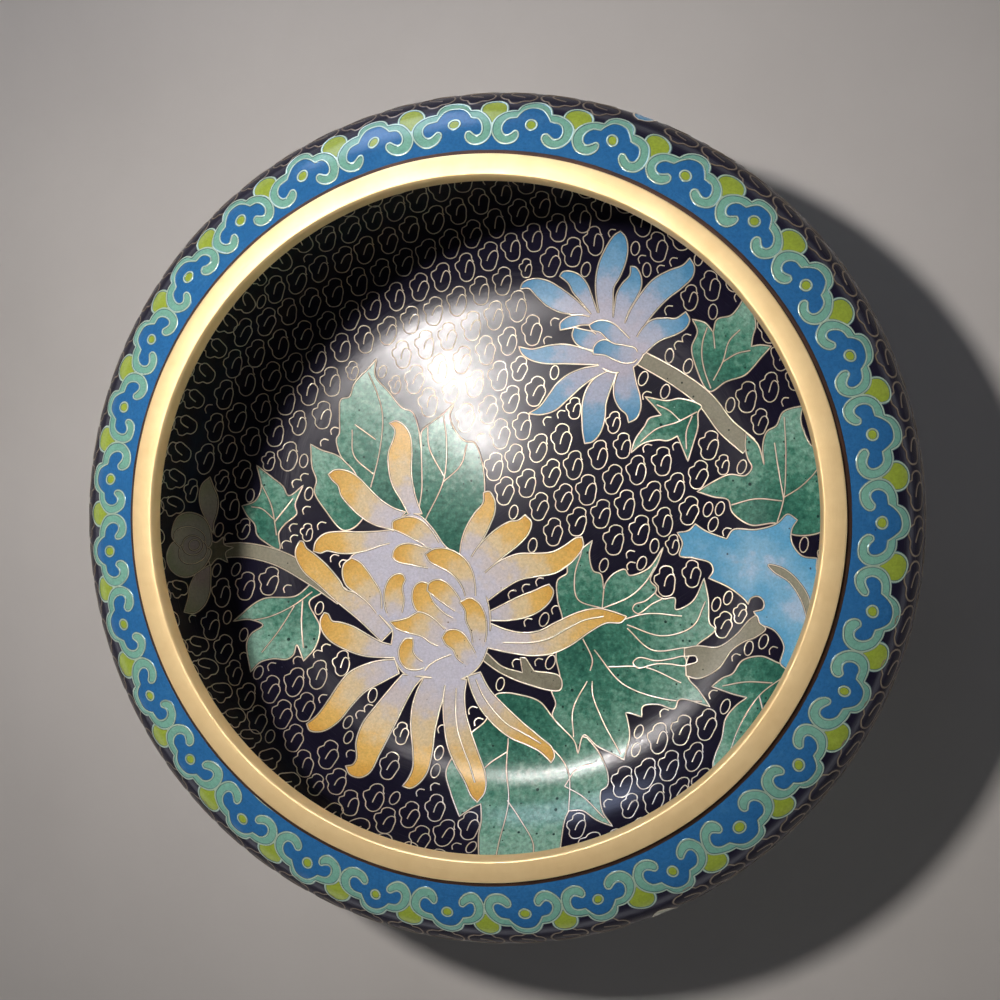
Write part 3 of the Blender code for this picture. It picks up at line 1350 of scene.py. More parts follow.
class BowlTrees:
    """The Geometry Nodes trees that every piece of the bowl is made with.

    Attributes:
        slow_phase: Where the slow swing of the copies' spacing starts, in radians.
        quick_phase: Where the quick swing starts.
        stray_scale: How many waves the copies' unsteady drawing has in a metre.
        stray: How far a point strays, in metres for each radian of wander.
        crown_fall: How far a wire's crown falls to its shoulders, as a share of its rise.
        flank_drop: How far its flanks drop, as a share of its rise.
        crown_width: The crown's half width as a share of the wire's width.
    """

    slow_phase = 1.55
    quick_phase = 1.25
    stray_scale = 85.0
    stray = 0.22
    crown_fall = 0.14
    flank_drop = 0.72
    crown_width = 0.43

    def __init__(self) -> None:
        """Builds the groups that the trees share, then the trees."""
        self.lay = self.build_lay()
        self.copies = self.build_copies()
        self.sweep = self.build_sweep()
        self.cells = self.build_cells()
        self.wires = self.build_wires()
        self.clouds = self.build_clouds()
        self.turned = self.build_turned()

    @staticmethod
    def build_lay() -> NodeTree:
        """Builds the group that finds where a point of the plan lies on the turned section."""
        sketch, (line, start, plan) = new_group(
            "Lay on turned line",
            GEOMETRY,
            [("Line", "Geometry"), ("Start", "Float"), ("Plan", "Vector")],
            [("Point", "Vector"), ("Normal", "Vector"), ("Squeeze", "Float")],
        )
        x, y, lift = sketch.split(plan)
        flat = sketch.joined(x, y)
        along = sketch.vector("LENGTH", flat)
        outward = sketch.split(sketch.vector("NORMALIZE", flat))[:2]
        sample = sketch.add("GeometryNodeSampleCurve", line, mode="LENGTH")
        sketch.feed(sample.inputs["Length"], sketch.minus(along, start))
        radius, _, level = sketch.split(sample.outputs["Position"])
        run, _, climb = sketch.split(sample.outputs["Tangent"])
        inward = sketch.times(climb, -1.0)
        side = [sketch.times(out, inward) for out in outward]
        normal = sketch.vector("NORMALIZE", sketch.joined(*side, run))
        skin = sketch.joined(*(sketch.times(out, radius) for out in outward), level)
        point = sketch.vector("ADD", skin, sketch.scaled(normal, lift))
        squeeze = sketch.math("DIVIDE", along, sketch.math("MAXIMUM", radius, 1e-6))
        return sketch.done(point, normal, squeeze)

    def build_copies(self) -> NodeTree:
        """Builds the group that repeats a plan round the axis."""
        sketch, (shape, copies, wander) = new_group(
            "Copies round the axis", GEOMETRY, [SHAPE, ("Copies", "Int"), ("Wander", "Float")]
        )
        step = sketch.math("DIVIDE", math.tau, copies)
        turn = sketch.joined(z=sketch.times(sketch.add("GeometryNodeInputIndex"), step))
        spots = sketch.heap(copies)
        placed = sketch.add("GeometryNodeInstanceOnPoints", spots, None, shape, None, None, turn)
        real = sketch.add("GeometryNodeRealizeInstances", placed)
        repeated = sketch.math("GREATER_THAN", copies, 1.5)
        welded = sketch.add("GeometryNodeMergeByDistance", real, repeated, WELD)
        place = sketch.position()
        x, y, _ = sketch.split(place)
        angle = sketch.math("ARCTAN2", y, x)
        slow = sketch.math("SINE", sketch.minus(angle, self.slow_phase))
        quick = sketch.math("SINE", sketch.mapped(angle, 3.0, self.quick_phase))
        swing = sketch.times(sketch.plus(slow, quick), wander)
        waves = sketch.noise(place, self.stray_scale, 1.0, 0.5)
        unsteady = sketch.vector("SUBTRACT", waves.outputs["Color"], (0.5, 0.5, 0.5))
        level = sketch.vector("MULTIPLY", unsteady, (1, 1, 0))
        push = sketch.scaled(level, sketch.times(wander, self.stray))
        return sketch.done(sketch.moved(welded, sketch.turned(place, swing), push))

    def laid(self, sketch: NodeSketch, plan: Any, line: Any, start: Any, lift: Any) -> Node:
        """Adds the nodes that lay a plan on a line and keep the skin's normal on its points.

        Args:
            sketch: The tree to draw in.
            plan: The plan's geometry, flat or with heights of its own.
            line: The turned line's geometry.
            start: The plan radius at which the line starts.
            lift: The height above the skin.

        Returns:
            The node that gives the laid geometry.
        """
        place = sketch.vector("ADD", sketch.position(), sketch.joined(z=lift))
        found = sketch.group(self.lay, line=line, start=start, plan=place)
        kept = sketch.stored(plan, SKIN_NORMAL, found.outputs["Normal"], VECTOR)
        return sketch.moved(kept, found.outputs["Point"])

    def build_sweep(self) -> NodeTree:
        """Builds the group that lays edges on a line and sweeps a ridged wire along them."""
        numbers = floats("Start", "Width", "Rise", "Dip")
        sketch, (plan, line, start, width, rise, dip, half) = new_group(
            "Sweep wire", GEOMETRY, [SHAPE, ("Line", "Geometry"), *numbers, ("Half Steps", "Int")]
        )
        curve = sketch.add("GeometryNodeMeshToCurve", self.laid(sketch, plan, line, start, 0.0))
        normal = sketch.named(SKIN_NORMAL, VECTOR)
        upright = sketch.add("GeometryNodeSetCurveNormal", curve, None, normal, mode="FREE")
        roof = sketch.heap(sketch.mapped(half, 2.0, 1.0))
        from_middle = sketch.minus(sketch.add("GeometryNodeInputIndex"), half)
        across = sketch.math("DIVIDE", sketch.times(from_middle, 2.0), half)
        out = sketch.math("ABSOLUTE", across)
        flank = sketch.math("MAXIMUM", sketch.minus(out, 1.0), 0.0)
        crown = sketch.times(rise, sketch.mapped(out, -self.crown_fall, 1.0))
        drop = sketch.times(flank, sketch.mapped(rise, self.flank_drop, dip))
        height = sketch.minus(crown, drop)
        side = sketch.times(across, sketch.times(width, self.crown_width))
        shaped = sketch.moved(sketch.stored(roof, FLANK, out, "FLOAT"), sketch.joined(height, side))
        profile = sketch.add("GeometryNodeMeshToCurve", shaped)
        return sketch.done(sketch.smoothed(sketch.add("GeometryNodeCurveToMesh", upright, profile)))

    def build_cells(self) -> NodeTree:
        """Builds the tree that lays flat cells on a line as closed slabs of enamel."""
        sketch, (plan, line, start, copies, wander, lift, depth, finish) = new_group(
            "Enamel cells", GEOMETRY, [*PLACING, *floats("Lift", "Depth"), FINISH]
        )
        round_axis = sketch.group(self.copies, geometry=plan, copies=copies, wander=wander)
        laid = self.laid(sketch, round_axis, sketch.shape_of(line), start, lift)
        down = sketch.scaled(sketch.named(SKIN_NORMAL, VECTOR), -1.0)
        turned_over = sketch.add("GeometryNodeFlipFaces", laid)
        slab = sketch.add("GeometryNodeExtrudeMesh", turned_over, None, down, depth, False, mode="FACES")
        both = sketch.add("GeometryNodeJoinGeometry", sketch.smoothed(laid))
        sketch.feed(both.inputs[0], sketch.smoothed(slab, False))
        return sketch.dressed(both, finish)

    def build_wires(self) -> NodeTree:
        """Builds the tree that sweeps wires along the edges of a plan."""
        sketch, (plan, line, start, copies, wander, width, rise, dip, finish) = new_group(
            "Cell wires", GEOMETRY, [*PLACING, *floats("Width", "Rise", "Dip"), FINISH]
        )
        round_axis = sketch.group(self.copies, geometry=plan, copies=copies, wander=wander)
        wire = {"line": sketch.shape_of(line), "start": start, "width": width, "rise": rise, "dip": dip}
        return sketch.dressed(sketch.group(self.sweep, geometry=round_axis, half_steps=2, **wire), finish)

    def build_clouds(self) -> NodeTree:
        """Builds the tree that sets a wire shape at each point of a plan."""
        numbers = floats("Start", "Width", "Rise", "Dip")
        sketch, (plan, shapes, line, start, width, rise, dip, finish) = new_group(
            "Cloud wires", GEOMETRY, [SHAPE, ("Shapes", "Collection"), ("Line", "Object"), *numbers, FINISH]
        )
        section = sketch.shape_of(line)
        position = sketch.position()
        templates = sketch.add("GeometryNodeCollectionInfo", shapes, True, True)
        size = sketch.named("size", "FLOAT")
        placed = sketch.add(
            "GeometryNodeInstanceOnPoints",
            sketch.stored(plan, ANCHOR, position, VECTOR),
            None,
            templates,
            True,
            sketch.named("kind", "INT"),
            sketch.joined(z=sketch.named("lean", "FLOAT")),
            sketch.joined(size, size, size),
        )
        real = sketch.add("GeometryNodeRealizeInstances", placed)
        anchor = sketch.named(ANCHOR, VECTOR)
        found = sketch.group(self.lay, line=section, start=start, plan=anchor)
        sideways = sketch.vector("NORMALIZE", sketch.vector("CROSS_PRODUCT", (0.0, 0.0, 1.0), anchor))
        aside = sketch.vector("DOT_PRODUCT", sketch.vector("SUBTRACT", position, anchor), sideways)
        extra = sketch.times(aside, sketch.minus(found.outputs["Squeeze"], 1.0))
        stretched = sketch.moved(real, offset=sketch.scaled(sideways, extra))
        wire = {"line": section, "start": start, "width": width, "rise": rise, "dip": dip}
        return sketch.dressed(sketch.group(self.sweep, geometry=stretched, half_steps=1, **wire), finish)

    @staticmethod
    def build_turned() -> NodeTree:
        """Builds the tree that turns a closed section about the axis."""
        numbers = floats("Wobble", "Wobble Scale")
        sketch, (_, section, segments, wobble, wobble_scale, finish) = new_group(
            "Turned piece", GEOMETRY, [SHAPE, ("Section", "Object"), ("Segments", "Int"), *numbers, FINISH]
        )
        points = sketch.shape_of(section)
        size = sketch.add("GeometryNodeAttributeDomainSize", points, component="MESH")
        rows = size.outputs["Point Count"]
        grid = sketch.add("GeometryNodeMeshGrid", 1.0, 1.0, sketch.plus(segments, 1.0), rows)
        index = sketch.add("GeometryNodeInputIndex").outputs[0]
        column = sketch.math("FLOOR", sketch.math("DIVIDE", sketch.plus(index, 0.5), rows))
        row = sketch.minus(index, sketch.times(column, rows))
        place = sketch.position()
        sample = sketch.add("GeometryNodeSampleIndex", points, place, row, data_type=VECTOR, domain="POINT")
        radius, _, level = sketch.split(sample)
        angle = sketch.times(column, sketch.math("DIVIDE", math.tau, segments))
        out = sketch.joined(sketch.math("COSINE", angle), sketch.math("SINE", angle))
        place = sketch.vector("ADD", sketch.scaled(out, radius), sketch.joined(z=level))
        waves = sketch.noise(place, wobble_scale, 1.0, 0.5)
        swing = sketch.mapped(waves.outputs["Fac"], 2.0, -1.0)
        push = sketch.scaled(out, sketch.times(swing, wobble))
        turned = sketch.moved(grid.outputs["Mesh"], place, push)
        closed = sketch.add("GeometryNodeMergeByDistance", turned, None, WELD)
        return sketch.dressed(sketch.smoothed(closed), finish)


def line_object(name: str, points: Sequence[Point]) -> Object:
    """Makes a curve object that follows a section line, with radius as X and height as Z."""
    curve = bpy.data.curves.new(name, "CURVE")
    curve.dimensions = "3D"
    spline = curve.splines.new("POLY")
    spline.points.add(len(points) - 1)
    for spot, (radius, height) in zip(spline.points, points):
        spot.co = (radius, 0.0, height, 1.0)
    return bpy.data.objects.new(name, curve)


def flat_places(points: Iterable[Point]) -> list[tuple[float, float, float]]:
    """Returns points of the plan as places in metres."""
    return [(x * MM, y * MM, 0.0) for x, y in points]


def joints(count: int) -> list[tuple[int, int]]:
    """Returns the edges that join a number of points in order."""
    return [(n, n + 1) for n in range(count - 1)]


def path_object(name: str, points: Sequence[tuple[float, float, float]]) -> Object:
    """Makes a mesh object of points joined in order by edges."""
    mesh = bpy.data.meshes.new(name)
    mesh.from_pydata(points, joints(len(points)), [])
    return bpy.data.objects.new(name, mesh)


@dataclass(frozen=True)
class Skin:
    """One face of the bowl that plans are laid on.

    Attributes:
        line: Its section line, as an object.
        start: The plan radius at which the line starts, in metres.
        radii: Gives its radius along the line.
    """

    line: Object
    start: float
    radii: RadiusAlong


class Workshop:
    """Makes finished pieces from plans and sections."""

    def __init__(self) -> None:
        """Builds the trees, the finishes and the section lines."""
        self.section = BowlSection.from_frame()
        self.trees = BowlTrees()
        effects = ShaderEffects()
        finishes = [*ENAMELS.values(), UNDERSIDE, MOUTH_GILT, FOOT_GILT, SEAM]
        self.materials = {}
        for name, finish in [*((finish.slot, finish) for finish in finishes), *WIRES.items()]:
            self.materials[name] = finish.material(effects)
            self.materials[name].name = name
        self.scratch: list[Object] = []
        inside = spaced(self.section.inside(FINE), LINE_STEP)
        outside = spaced(self.section.outside(FINE)[::-1], LINE_STEP)
        self.inside = Skin(self.keep(line_object("inner_line", inside)), 0.0, RadiusAlong(inside))
        start = self.section.band_radius
        self.outside = Skin(self.keep(line_object("outer_line", outside)), start, RadiusAlong(outside))

    def keep(self, obj: Object) -> Object:
        """Adds an object that only the trees read, and that clear() removes."""
        bpy.context.scene.collection.objects.link(obj)
        self.scratch.append(obj)
        return obj

    def clear(self) -> None:
        """Removes the objects that only the trees read."""
        for obj in self.scratch:
            data = obj.data
            bpy.data.objects.remove(obj, do_unlink=True)
            if data.users == 0:
                (bpy.data.meshes if isinstance(data, Mesh) else bpy.data.curves).remove(data)
        self.scratch.clear()

    def grow(
        self, name: str, tree: NodeTree, plan: Mesh | None, finish: str, **inputs: Any
    ) -> Object:
        """Runs a tree on a plan and keeps the result as a plain mesh.

        Args:
            name: The piece's name.
            tree: The tree to run.
            plan: The mesh to run it on, or None where the tree makes its own.
            finish: The material slot whose finish the piece gets, or the name of one of the wire copies with
                painted shade and reflection.
            inputs: The tree's inputs, by their names in small letters.

        Returns:
            The piece, in the scene.
        """
        start = plan or bpy.data.meshes.new(f"{name}_start")
        piece = bpy.data.objects.new(name, start)
        bpy.context.scene.collection.objects.link(piece)
        grower = piece.modifiers.new("Grow", "NODES")
        grower.node_group = tree
        values = {**inputs, "finish": self.materials[finish]}
        for item in tree.interface.items_tree:
            label = item.name.lower().replace(" ", "_")
            if item.in_out == "INPUT" and label in values:
                grower[item.identifier] = values[label]
        graph = bpy.context.evaluated_depsgraph_get()
        mesh = bpy.data.meshes.new_from_object(
            piece.evaluated_get(graph), preserve_all_data_layers=True, depsgraph=graph
        )
        piece.modifiers.clear()
        piece.data = mesh
        bpy.data.meshes.remove(start)
        mesh.name = name
        mesh.materials.clear()
        mesh.materials.append(self.materials[finish])
        self.settle_normals(mesh)
        return piece

    @staticmethod
    def settle_normals(mesh: Mesh) -> None:
        """Gives the faces of enamel cells the skin's own normals, and drops the helper attributes."""
        skin = mesh.attributes.get(SKIN_NORMAL)
        if skin and TINT in mesh.attributes:
            normals = []
            for polygon in mesh.polygons:
                for corner in polygon.vertices:
                    normals.append(tuple(skin.data[corner].vector if polygon.use_smooth else polygon.normal))
            mesh.normals_split_custom_set(normals)
        for helper in (SKIN_NORMAL, ANCHOR, "kind", "lean", "size"):
            if helper in mesh.attributes:
                mesh.attributes.remove(mesh.attributes[helper])

    def hand_over(self, piece: Object, node: str, slot: str) -> None:
        """Puts a finished piece in the place of a CAD node and reports it."""
        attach(piece, BODY)
        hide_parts(node)
        LOG.info("%s: %d faces, %s", piece.name, len(piece.data.polygons), slot)

    def turned(
        self,
        name: str,
        section: Sequence[Point],
        node: str,
        slot: str,
        segments: int = 256,
        wobble: float = 0.0,
        wobble_scale: float = 30.0,
    ) -> Object:
        """Turns a closed section that is listed counterclockwise, with the axis on its left.

        Args:
            name: The piece's name.
            section: The (radius, height) points. A ring's first point is repeated at its end.
            node: The CAD node that it stands for.
            slot: The material slot.
            segments: How many flats there are in a turn.
            wobble: How far the turned face swells in and out, in metres.
            wobble_scale: How many swells there are in a metre.

        Returns:
            The piece.
        """
        places = [(radius, 0.0, height) for radius, height in section]
        path = self.keep(path_object(f"{name}_section", places))
        piece = self.grow(
            name,
            self.trees.turned,
            None,
            slot,
            section=path,
            segments=segments,
            wobble=wobble,
            wobble_scale=wobble_scale,
        )
        self.hand_over(piece, node, slot)
        return piece


# ---------------------------------------------------------------------------------------------
# The spray inside the bowl
# ---------------------------------------------------------------------------------------------


@dataclass(frozen=True)
class Leaf:
    """A leaf, darkest where it springs from and paler and mottled towards its edge.

    Attributes:
        edge: The points of its outline, with SHARP at its tips and notches.
        heart: Where it is darkest.
        reach: How far from there it is palest.
        veins: The points of each vein's wire.
        enamel: What fills it.
    """

    edge: tuple[tuple, ...]
    heart: Point
    reach: float
    veins: tuple[tuple[Point, ...], ...] = ()
    enamel: Enamel = Enamel.LEAF

    def figure(self) -> Figure:
        """Draws the leaf."""
        return Figure(
            enamel=self.enamel,
            line=outline(self.edge),
            shading=shade_from(self.heart, self.reach),
            veins=[open_line(vein) for vein in self.veins],
        )


@dataclass(frozen=True)
class Stalk:
    """A stem that widens or narrows evenly from one end to the other."""

    spine: tuple[Point, ...]
    start_width: float
    end_width: float

    def figure(self) -> Figure:
        """Draws the stem."""
        return Figure(
            enamel=Enamel.STEM,
            line=ribbon(self.spine, self.half_width),
            shading=shade_evenly(0.5),
        )

    def half_width(self, share: float) -> float:
        """Returns half the stem's width at a share of the way along it."""
        return 0.5 * (self.start_width + share * (self.end_width - self.start_width))


UPPER_LEFT_LEAVES = (
    Leaf(
        edge=(
            (-62.9, 25.4, SHARP), (-60, 23.5), (-55, 21.3), (-50.4, 16.3), (-46, 8), (-50, 0),
            (-54.6, -1.7), (-60, 5), (-62.9, 10.8), (-62, 14.2), (-63, 18.3),
        ),
        heart=(-46, 0),
        reach=26,
    ),
    Leaf(
        edge=(
            (-40.5, 50, SHARP), (-41.5, 45), (-38, 40), (-34, 34.5), (-31, 33), (-29.5, 28), (-29, 21.5),
            (-28, 12), (-30, 0), (-38, -3), (-45, 2), (-48, 10), (-50.4, 16.3), (-54, 21), (-55, 26.5),
            (-54, 28), (-53.5, 33), (-52.5, 38.5), (-50, 39), (-48, 43), (-43, 47.5),
        ),
        heart=(-37, 2),
        reach=48,
        veins=(
            ((-45.5, 11), (-42, 22), (-40.3, 33), (-41.5, 40), (-43.5, 46)),
            ((-44.5, 15), (-50, 21), (-50, 29)),
            ((-49, 30.5), (-43, 25.5)),
        ),
    ),
    Leaf(
        edge=(
            (-29, 21.5, SHARP), (-28.5, 27), (-26, 29), (-22, 31.5), (-18, 34.5, SHARP), (-19.5, 31),
            (-17.5, 25.5), (-15, 23), (-12.5, 22.5), (-10.5, 17), (-10, 10), (-10.5, 5), (-13, -4),
            (-19.5, -12), (-25, -8), (-31, -2), (-29.5, 10),
        ),
        heart=(-22, -8),
        reach=44,
        veins=(
            ((-29, 0), (-22.5, 12), (-21, 24), (-21.5, 32)),
            ((-22.5, 13), (-26.5, 22), (-26.5, 29)),
            ((-23, 11), (-17, 16), (-14.8, 22)),
        ),
    ),
)

LEFT_LEAVES = (
    Leaf(
        edge=(
            (-74.3, -6.4), (-78.4, -4), (-80.8, -1.5), (-81.3, 1.7), (-83.4, 4.6), (-84.8, 7.7, SHARP),
            (-80.8, 9), (-78.7, 12.9), (-79.5, 20, SHARP), (-75.7, 16.4), (-72.1, 12.9), (-70.7, 10),
            (-66.1, 12.9, SHARP), (-68.9, 7.1), (-68.6, 4.3), (-72.1, 1.4), (-74.3, -1.4),
        ),
        heart=(-75, -2),
        reach=22,
        veins=(
            ((-75, -2), (-76, 7), (-78.5, 14)),
            ((-75.5, 2), (-72, 6), (-69.5, 9)),
            ((-75.5, 3), (-79, 6.5), (-82, 7.3)),
        ),
    ),
    Leaf(
        edge=(
            (-64, -17), (-70, -21), (-80, -21.5), (-89, -28, SHARP), (-84, -27.6), (-80, -29.5),
            (-83.5, -32), (-85, -35), (-84, -44, SHARP), (-81, -41), (-77, -40), (-73, -40.3), (-71, -39),
            (-70, -36), (-68, -41, SHARP), (-64.5, -37), (-63, -31), (-66, -23), (-62, -20),
        ),
        heart=(-64, -19),
        reach=24,
        veins=(
            ((-65, -20), (-71, -24), (-78, -27), (-84, -28)),
            ((-70.5, -24), (-75, -31), (-80.5, -38)),
            ((-68, -22.5), (-68.5, -30), (-68, -37)),
        ),
    ),
)

RIGHT_LEAVES = (
    Leaf(
        edge=(
            (57.9, 32), (54.3, 40.7), (53.9, 45), (56, 49.3), (54.9, 52.9, SHARP), (58.6, 51.4),
            (60.6, 48.6, SHARP), (62.1, 52.1), (66.4, 52.9), (69, 55), (71.5, 58, SHARP), (73.6, 52.1),
            (73.6, 49.3), (72.3, 46.5), (71.4, 43.6, SHARP), (74.3, 43.8), (77.5, 43.2, SHARP), (74, 40.3),
            (71.4, 37.9), (68.6, 35.7), (62.9, 34.3),
        ),
        heart=(59, 33),
        reach=27,
        veins=(
            ((58.4, 32.8), (57, 38), (56.6, 42.5), (57.3, 46.5), (59, 50.2)),
            ((59.3, 35), (62.5, 40), (65, 45.7), (68.6, 48.6)),
            ((60.6, 48.6), (60.6, 44)),
            ((62.5, 40), (67, 42), (71, 42.5)),
        ),
    ),
    Leaf(
        edge=(
            (55.4, 27.9), (49.3, 30.7), (45.7, 30.4), (39.3, 32.1, SHARP), (42.1, 28.6),
            (43.6, 26.4, SHARP), (40, 25.7), (38.6, 23.6), (35.7, 20), (34.1, 16.1, SHARP), (37.9, 18.6),
            (42.1, 19.3), (45, 18.9), (47.9, 20, SHARP), (48.6, 17.9), (50.4, 12.5, SHARP), (52.1, 17.1),
            (53.9, 22.1), (54.3, 26.4),
        ),
        heart=(54, 26),
        reach=22,
        veins=(
            ((54, 26.5), (48, 24), (42, 22.5), (37, 19)),
            ((49, 24.3), (46, 27.5), (42.5, 29.5)),
            ((52.5, 25.5), (50.5, 21), (50.2, 16)),
        ),
    ),
    Leaf(
        edge=(
            (67.5, 12), (67, 15.5), (67.5, 19.3, SHARP), (70.7, 15.7), (72, 10, SHARP), (72.1, 15.7),
            (73.6, 19.3), (76.4, 20.7), (78.6, 24.3), (81.5, 25.3), (85, 25.7, SHARP), (84, 22.5),
            (84.3, 19.3), (86.8, 14.3), (92, 16), (97, 13, SHARP), (95.5, 6), (98, 0, SHARP), (93.5, -5),
            (88.6, -9.5), (79.3, -10.2), (74.6, -6.8), (67.1, -6.8), (62.1, -2.9), (61.1, 0.7), (57, 1.8),
            (52.5, 3.6, SHARP), (58, 6.5), (62.1, 7.9), (66.5, 7.3), (68.5, 9.5),
        ),
        heart=(75, -6),
        reach=31,
        veins=(
            ((74.6, -6.8), (77, 0), (78.5, 12), (79, 23)),
            ((77, 0), (76, 9), (75.5, 16)),
            ((77.2, 0.5), (82, 3), (87, 7), (91, 12)),
            ((76.5, -0.5), (69, 0.5), (62, -0.8)),
        ),
    ),
)

ROCK_EDGE = (
    (46.1, -7.9, SHARP), (49.3, -7.5), (51.4, -5.7, SHARP), (54.3, -7.9), (60, -10.4, SHARP), (62.1, -7.9),
    (68.6, -8.2), (74.6, -6.8), (77.9, -4.3), (80.7, -6.1, SHARP), (78.9, -8.6), (78.6, -12.1),
    (81.4, -16.1), (86.1, -17.1, SHARP), (86, -20.7), (92, -22), (99, -19, SHARP), (106, -22),
    (112, -30, SHARP), (108, -38), (110, -47, SHARP), (101, -52), (92, -50, SHARP), (84, -51),
    (76.4, -47.9, SHARP), (74.3, -46.1), (75.4, -41.4), (72.9, -37.1), (70.4, -35.7), (67.9, -35),
    (67.5, -32.9, SHARP), (66.7, -31.3, SHARP), (69.4, -30.6), (69.7, -28.6), (68.2, -27.1), (66, -27.6),
    (65.2, -29.2, SHARP), (64.3, -27.9), (60, -24.3), (54.3, -21.4, SHARP), (55.7, -19.3), (55, -17.1),
    (50, -15.4, SHARP), (46.4, -14.6), (47.4, -11),
)
ROCK_GROOVE = (
    (71.5, -18.3), (75.5, -19.3), (79.5, -22.5), (83.3, -28.5), (83, -35), (81, -29), (77.5, -23.5),
    (73, -20.3),
)

BIG_LEAF = Leaf(
    edge=(
        (11.1, -32.1), (10.0, -26), (10.4, -20), (13.2, -18.2), (13.6, -15.7), (17.9, -11.4),
        (21.3, -8.9, SHARP), (20.2, -12.9), (21.1, -17.9), (23.2, -18.9), (23.8, -23.6, SHARP),
        (24.6, -21.4), (27.1, -18.9), (30.4, -17.9), (31.4, -19.6), (37.1, -17.9), (41.8, -12, SHARP),
        (40, -16.4), (37.5, -21.4), (39.2, -23.6), (38.8, -25.2), (41, -26.9), (44.3, -26.8), (44.3, -30),
        (49.3, -27.9), (53, -21.4, SHARP), (53.9, -27.9), (53.9, -34.3), (55.4, -36.1), (50, -40.4),
        (46.8, -45), (47.1, -49.6), (50, -53), (53.2, -57.7, SHARP), (44.3, -55.7), (42.9, -58.2),
        (38, -57), (33.6, -57.5), (33.2, -60.4, SHARP), (28.6, -59.3), (28.9, -60.7), (29.6, -65.7),
        (27.9, -72.5, SHARP), (24.3, -70.7), (20, -68.6), (16.1, -65.4), (14.3, -70.7, SHARP),
        (13.2, -67.1), (9.3, -62.9), (6.8, -59.6), (7.9, -56.4), (6.8, -52.1), (9.3, -50), (8.6, -42.1),
    ),
    heart=(17, -39),
    reach=38,
    veins=(
        ((23.8, -23.6), (23, -29)),
        ((23, -29), (16, -26), (15.5, -19), (18, -12)),
        ((23, -29), (31, -26), (36, -22), (39, -17.5)),
        (
            (38.8, -25), (35.7, -27.3), (32.6, -28.2), (31.9, -29.6), (33.3, -30.9), (35.2, -30),
            (37.5, -28.3), (40.5, -27),
        ),
        ((27, -33), (36, -31), (46, -32)),
        ((30, -34), (40, -37.5), (49, -35), (53, -28)),
        ((30, -35), (37, -41.5), (47, -41)),
        ((16.5, -37), (19.3, -44), (18.5, -47)),
        ((20, -41), (28, -51), (40, -55.5), (51, -56.3)),
        ((19, -50), (19, -54), (22, -62), (27, -71)),
        ((24, -46), (35, -46.5), (45, -51)),
        ((17.5, -50), (13, -58), (13, -66)),
    ),
)

BOTTOM_LEAF = Leaf(
    edge=(
        (-13.3, -60.8), (-10, -53.3), (-1.7, -53.8), (3.3, -55.8), (6.7, -60), (9.3, -62.9), (14.5, -65.5),
        (17, -66.2, SHARP), (20.7, -70.7), (23.2, -76.4), (23.2, -80), (21.4, -81.4), (22.1, -87.1),
        (25.7, -92, SHARP), (20.7, -90), (16.1, -87.1), (12.1, -87.1, SHARP), (11.1, -90), (10.7, -98.6),
        (11, -104), (8, -108, SHARP), (4, -111), (0, -118, SHARP), (-4, -112), (-9, -113, SHARP),
        (-12.5, -106), (-14.2, -95), (-13.8, -90), (-14.2, -85, SHARP), (-16.5, -86), (-20.4, -88.8, SHARP),
        (-23.3, -81.7), (-25, -75.8), (-24.2, -72.9), (-21, -68.5), (-17.5, -64.2),
    ),
    heart=(-6, -58),
    reach=42,
    veins=(
        ((-6.5, -66), (-7, -75), (-6, -84), (-8, -97), (-8.5, -106)),
        ((-6.4, -84), (-2, -90), (2.5, -98), (2, -110)),
        ((-7, -70), (-13, -74), (-18, -81)),
        ((10.5, -80), (16, -83), (23, -89.5)),
        ((10.5, -80), (14, -75), (19, -73.5)),
        ((2, -66), (8, -70.5), (11.5, -76), (12.1, -87.1)),
    ),
)

RIM_LEAF = Leaf(
    edge=(
        (53.9, -52.1, SHARP), (57, -49.8), (60, -48.6), (62.9, -45), (68.6, -43.9), (74.3, -46.1),
        (80, -47), (86, -50, SHARP), (84, -57), (87, -64, SHARP), (79, -66), (76, -73, SHARP), (70, -76),
        (66, -84, SHARP), (60, -80), (56.5, -80.5, SHARP), (54.8, -74), (57.1, -66.4), (57.9, -61.4),
        (60.7, -57.9), (64.3, -55.4, SHARP), (60, -54.3),
    ),
    heart=(76, -50),
    reach=32,
    veins=(
        ((77, -49), (68, -55), (62, -64), (59, -74)),
        ((72, -51.5), (64, -51), (57, -52)),
        ((68, -55), (70, -63), (68, -74)),
        ((77, -49), (80, -55), (79, -61)),
    ),
)

TWIG_EDGE = (
    (65.5, -33.5), (67.5, -32.5), (68.2, -34.5), (70, -36.2), (67, -38.5), (64, -39.5), (60, -42),
    (56, -47), (50, -49.8), (46.5, -49, SHARP), (46.5, -46, SHARP), (49.8, -45), (49.5, -43.5),
    (46.2, -43.5, SHARP), (46.3, -41.2, SHARP), (50, -40.6), (56, -41), (61, -38),
)
TWIG_LOOP = (
    (46.2, -43.6), (42, -44.2), (38, -44.6), (33, -43.6), (31.2, -45), (32.5, -46.5), (38, -45.5),
    (42, -45.6), (46.5, -46),
)
BRANCH_EDGE = (
    (-14.5, -41.5), (-13.3, -40.4), (-7.9, -45), (-1.7, -47.1, SHARP), (-2.2, -42.6, SHARP),
    (-0.6, -42.8, SHARP), (1.7, -46.7, SHARP), (9.2, -48.3), (10, -50.5), (9.2, -52.5), (-1.7, -50),
    (-10, -45.8),
)

RIGHT_STEM = Stalk(((39, 43.3), (49.5, 36), (56.8, 29.3), (62, 21.5), (68, 15.5)), 4.2, 5.2)
LEFT_STEM = Stalk(((-93, -6), (-85, -6), (-75, -9), (-64, -16), (-56, -22)), 4.2, 5.2)

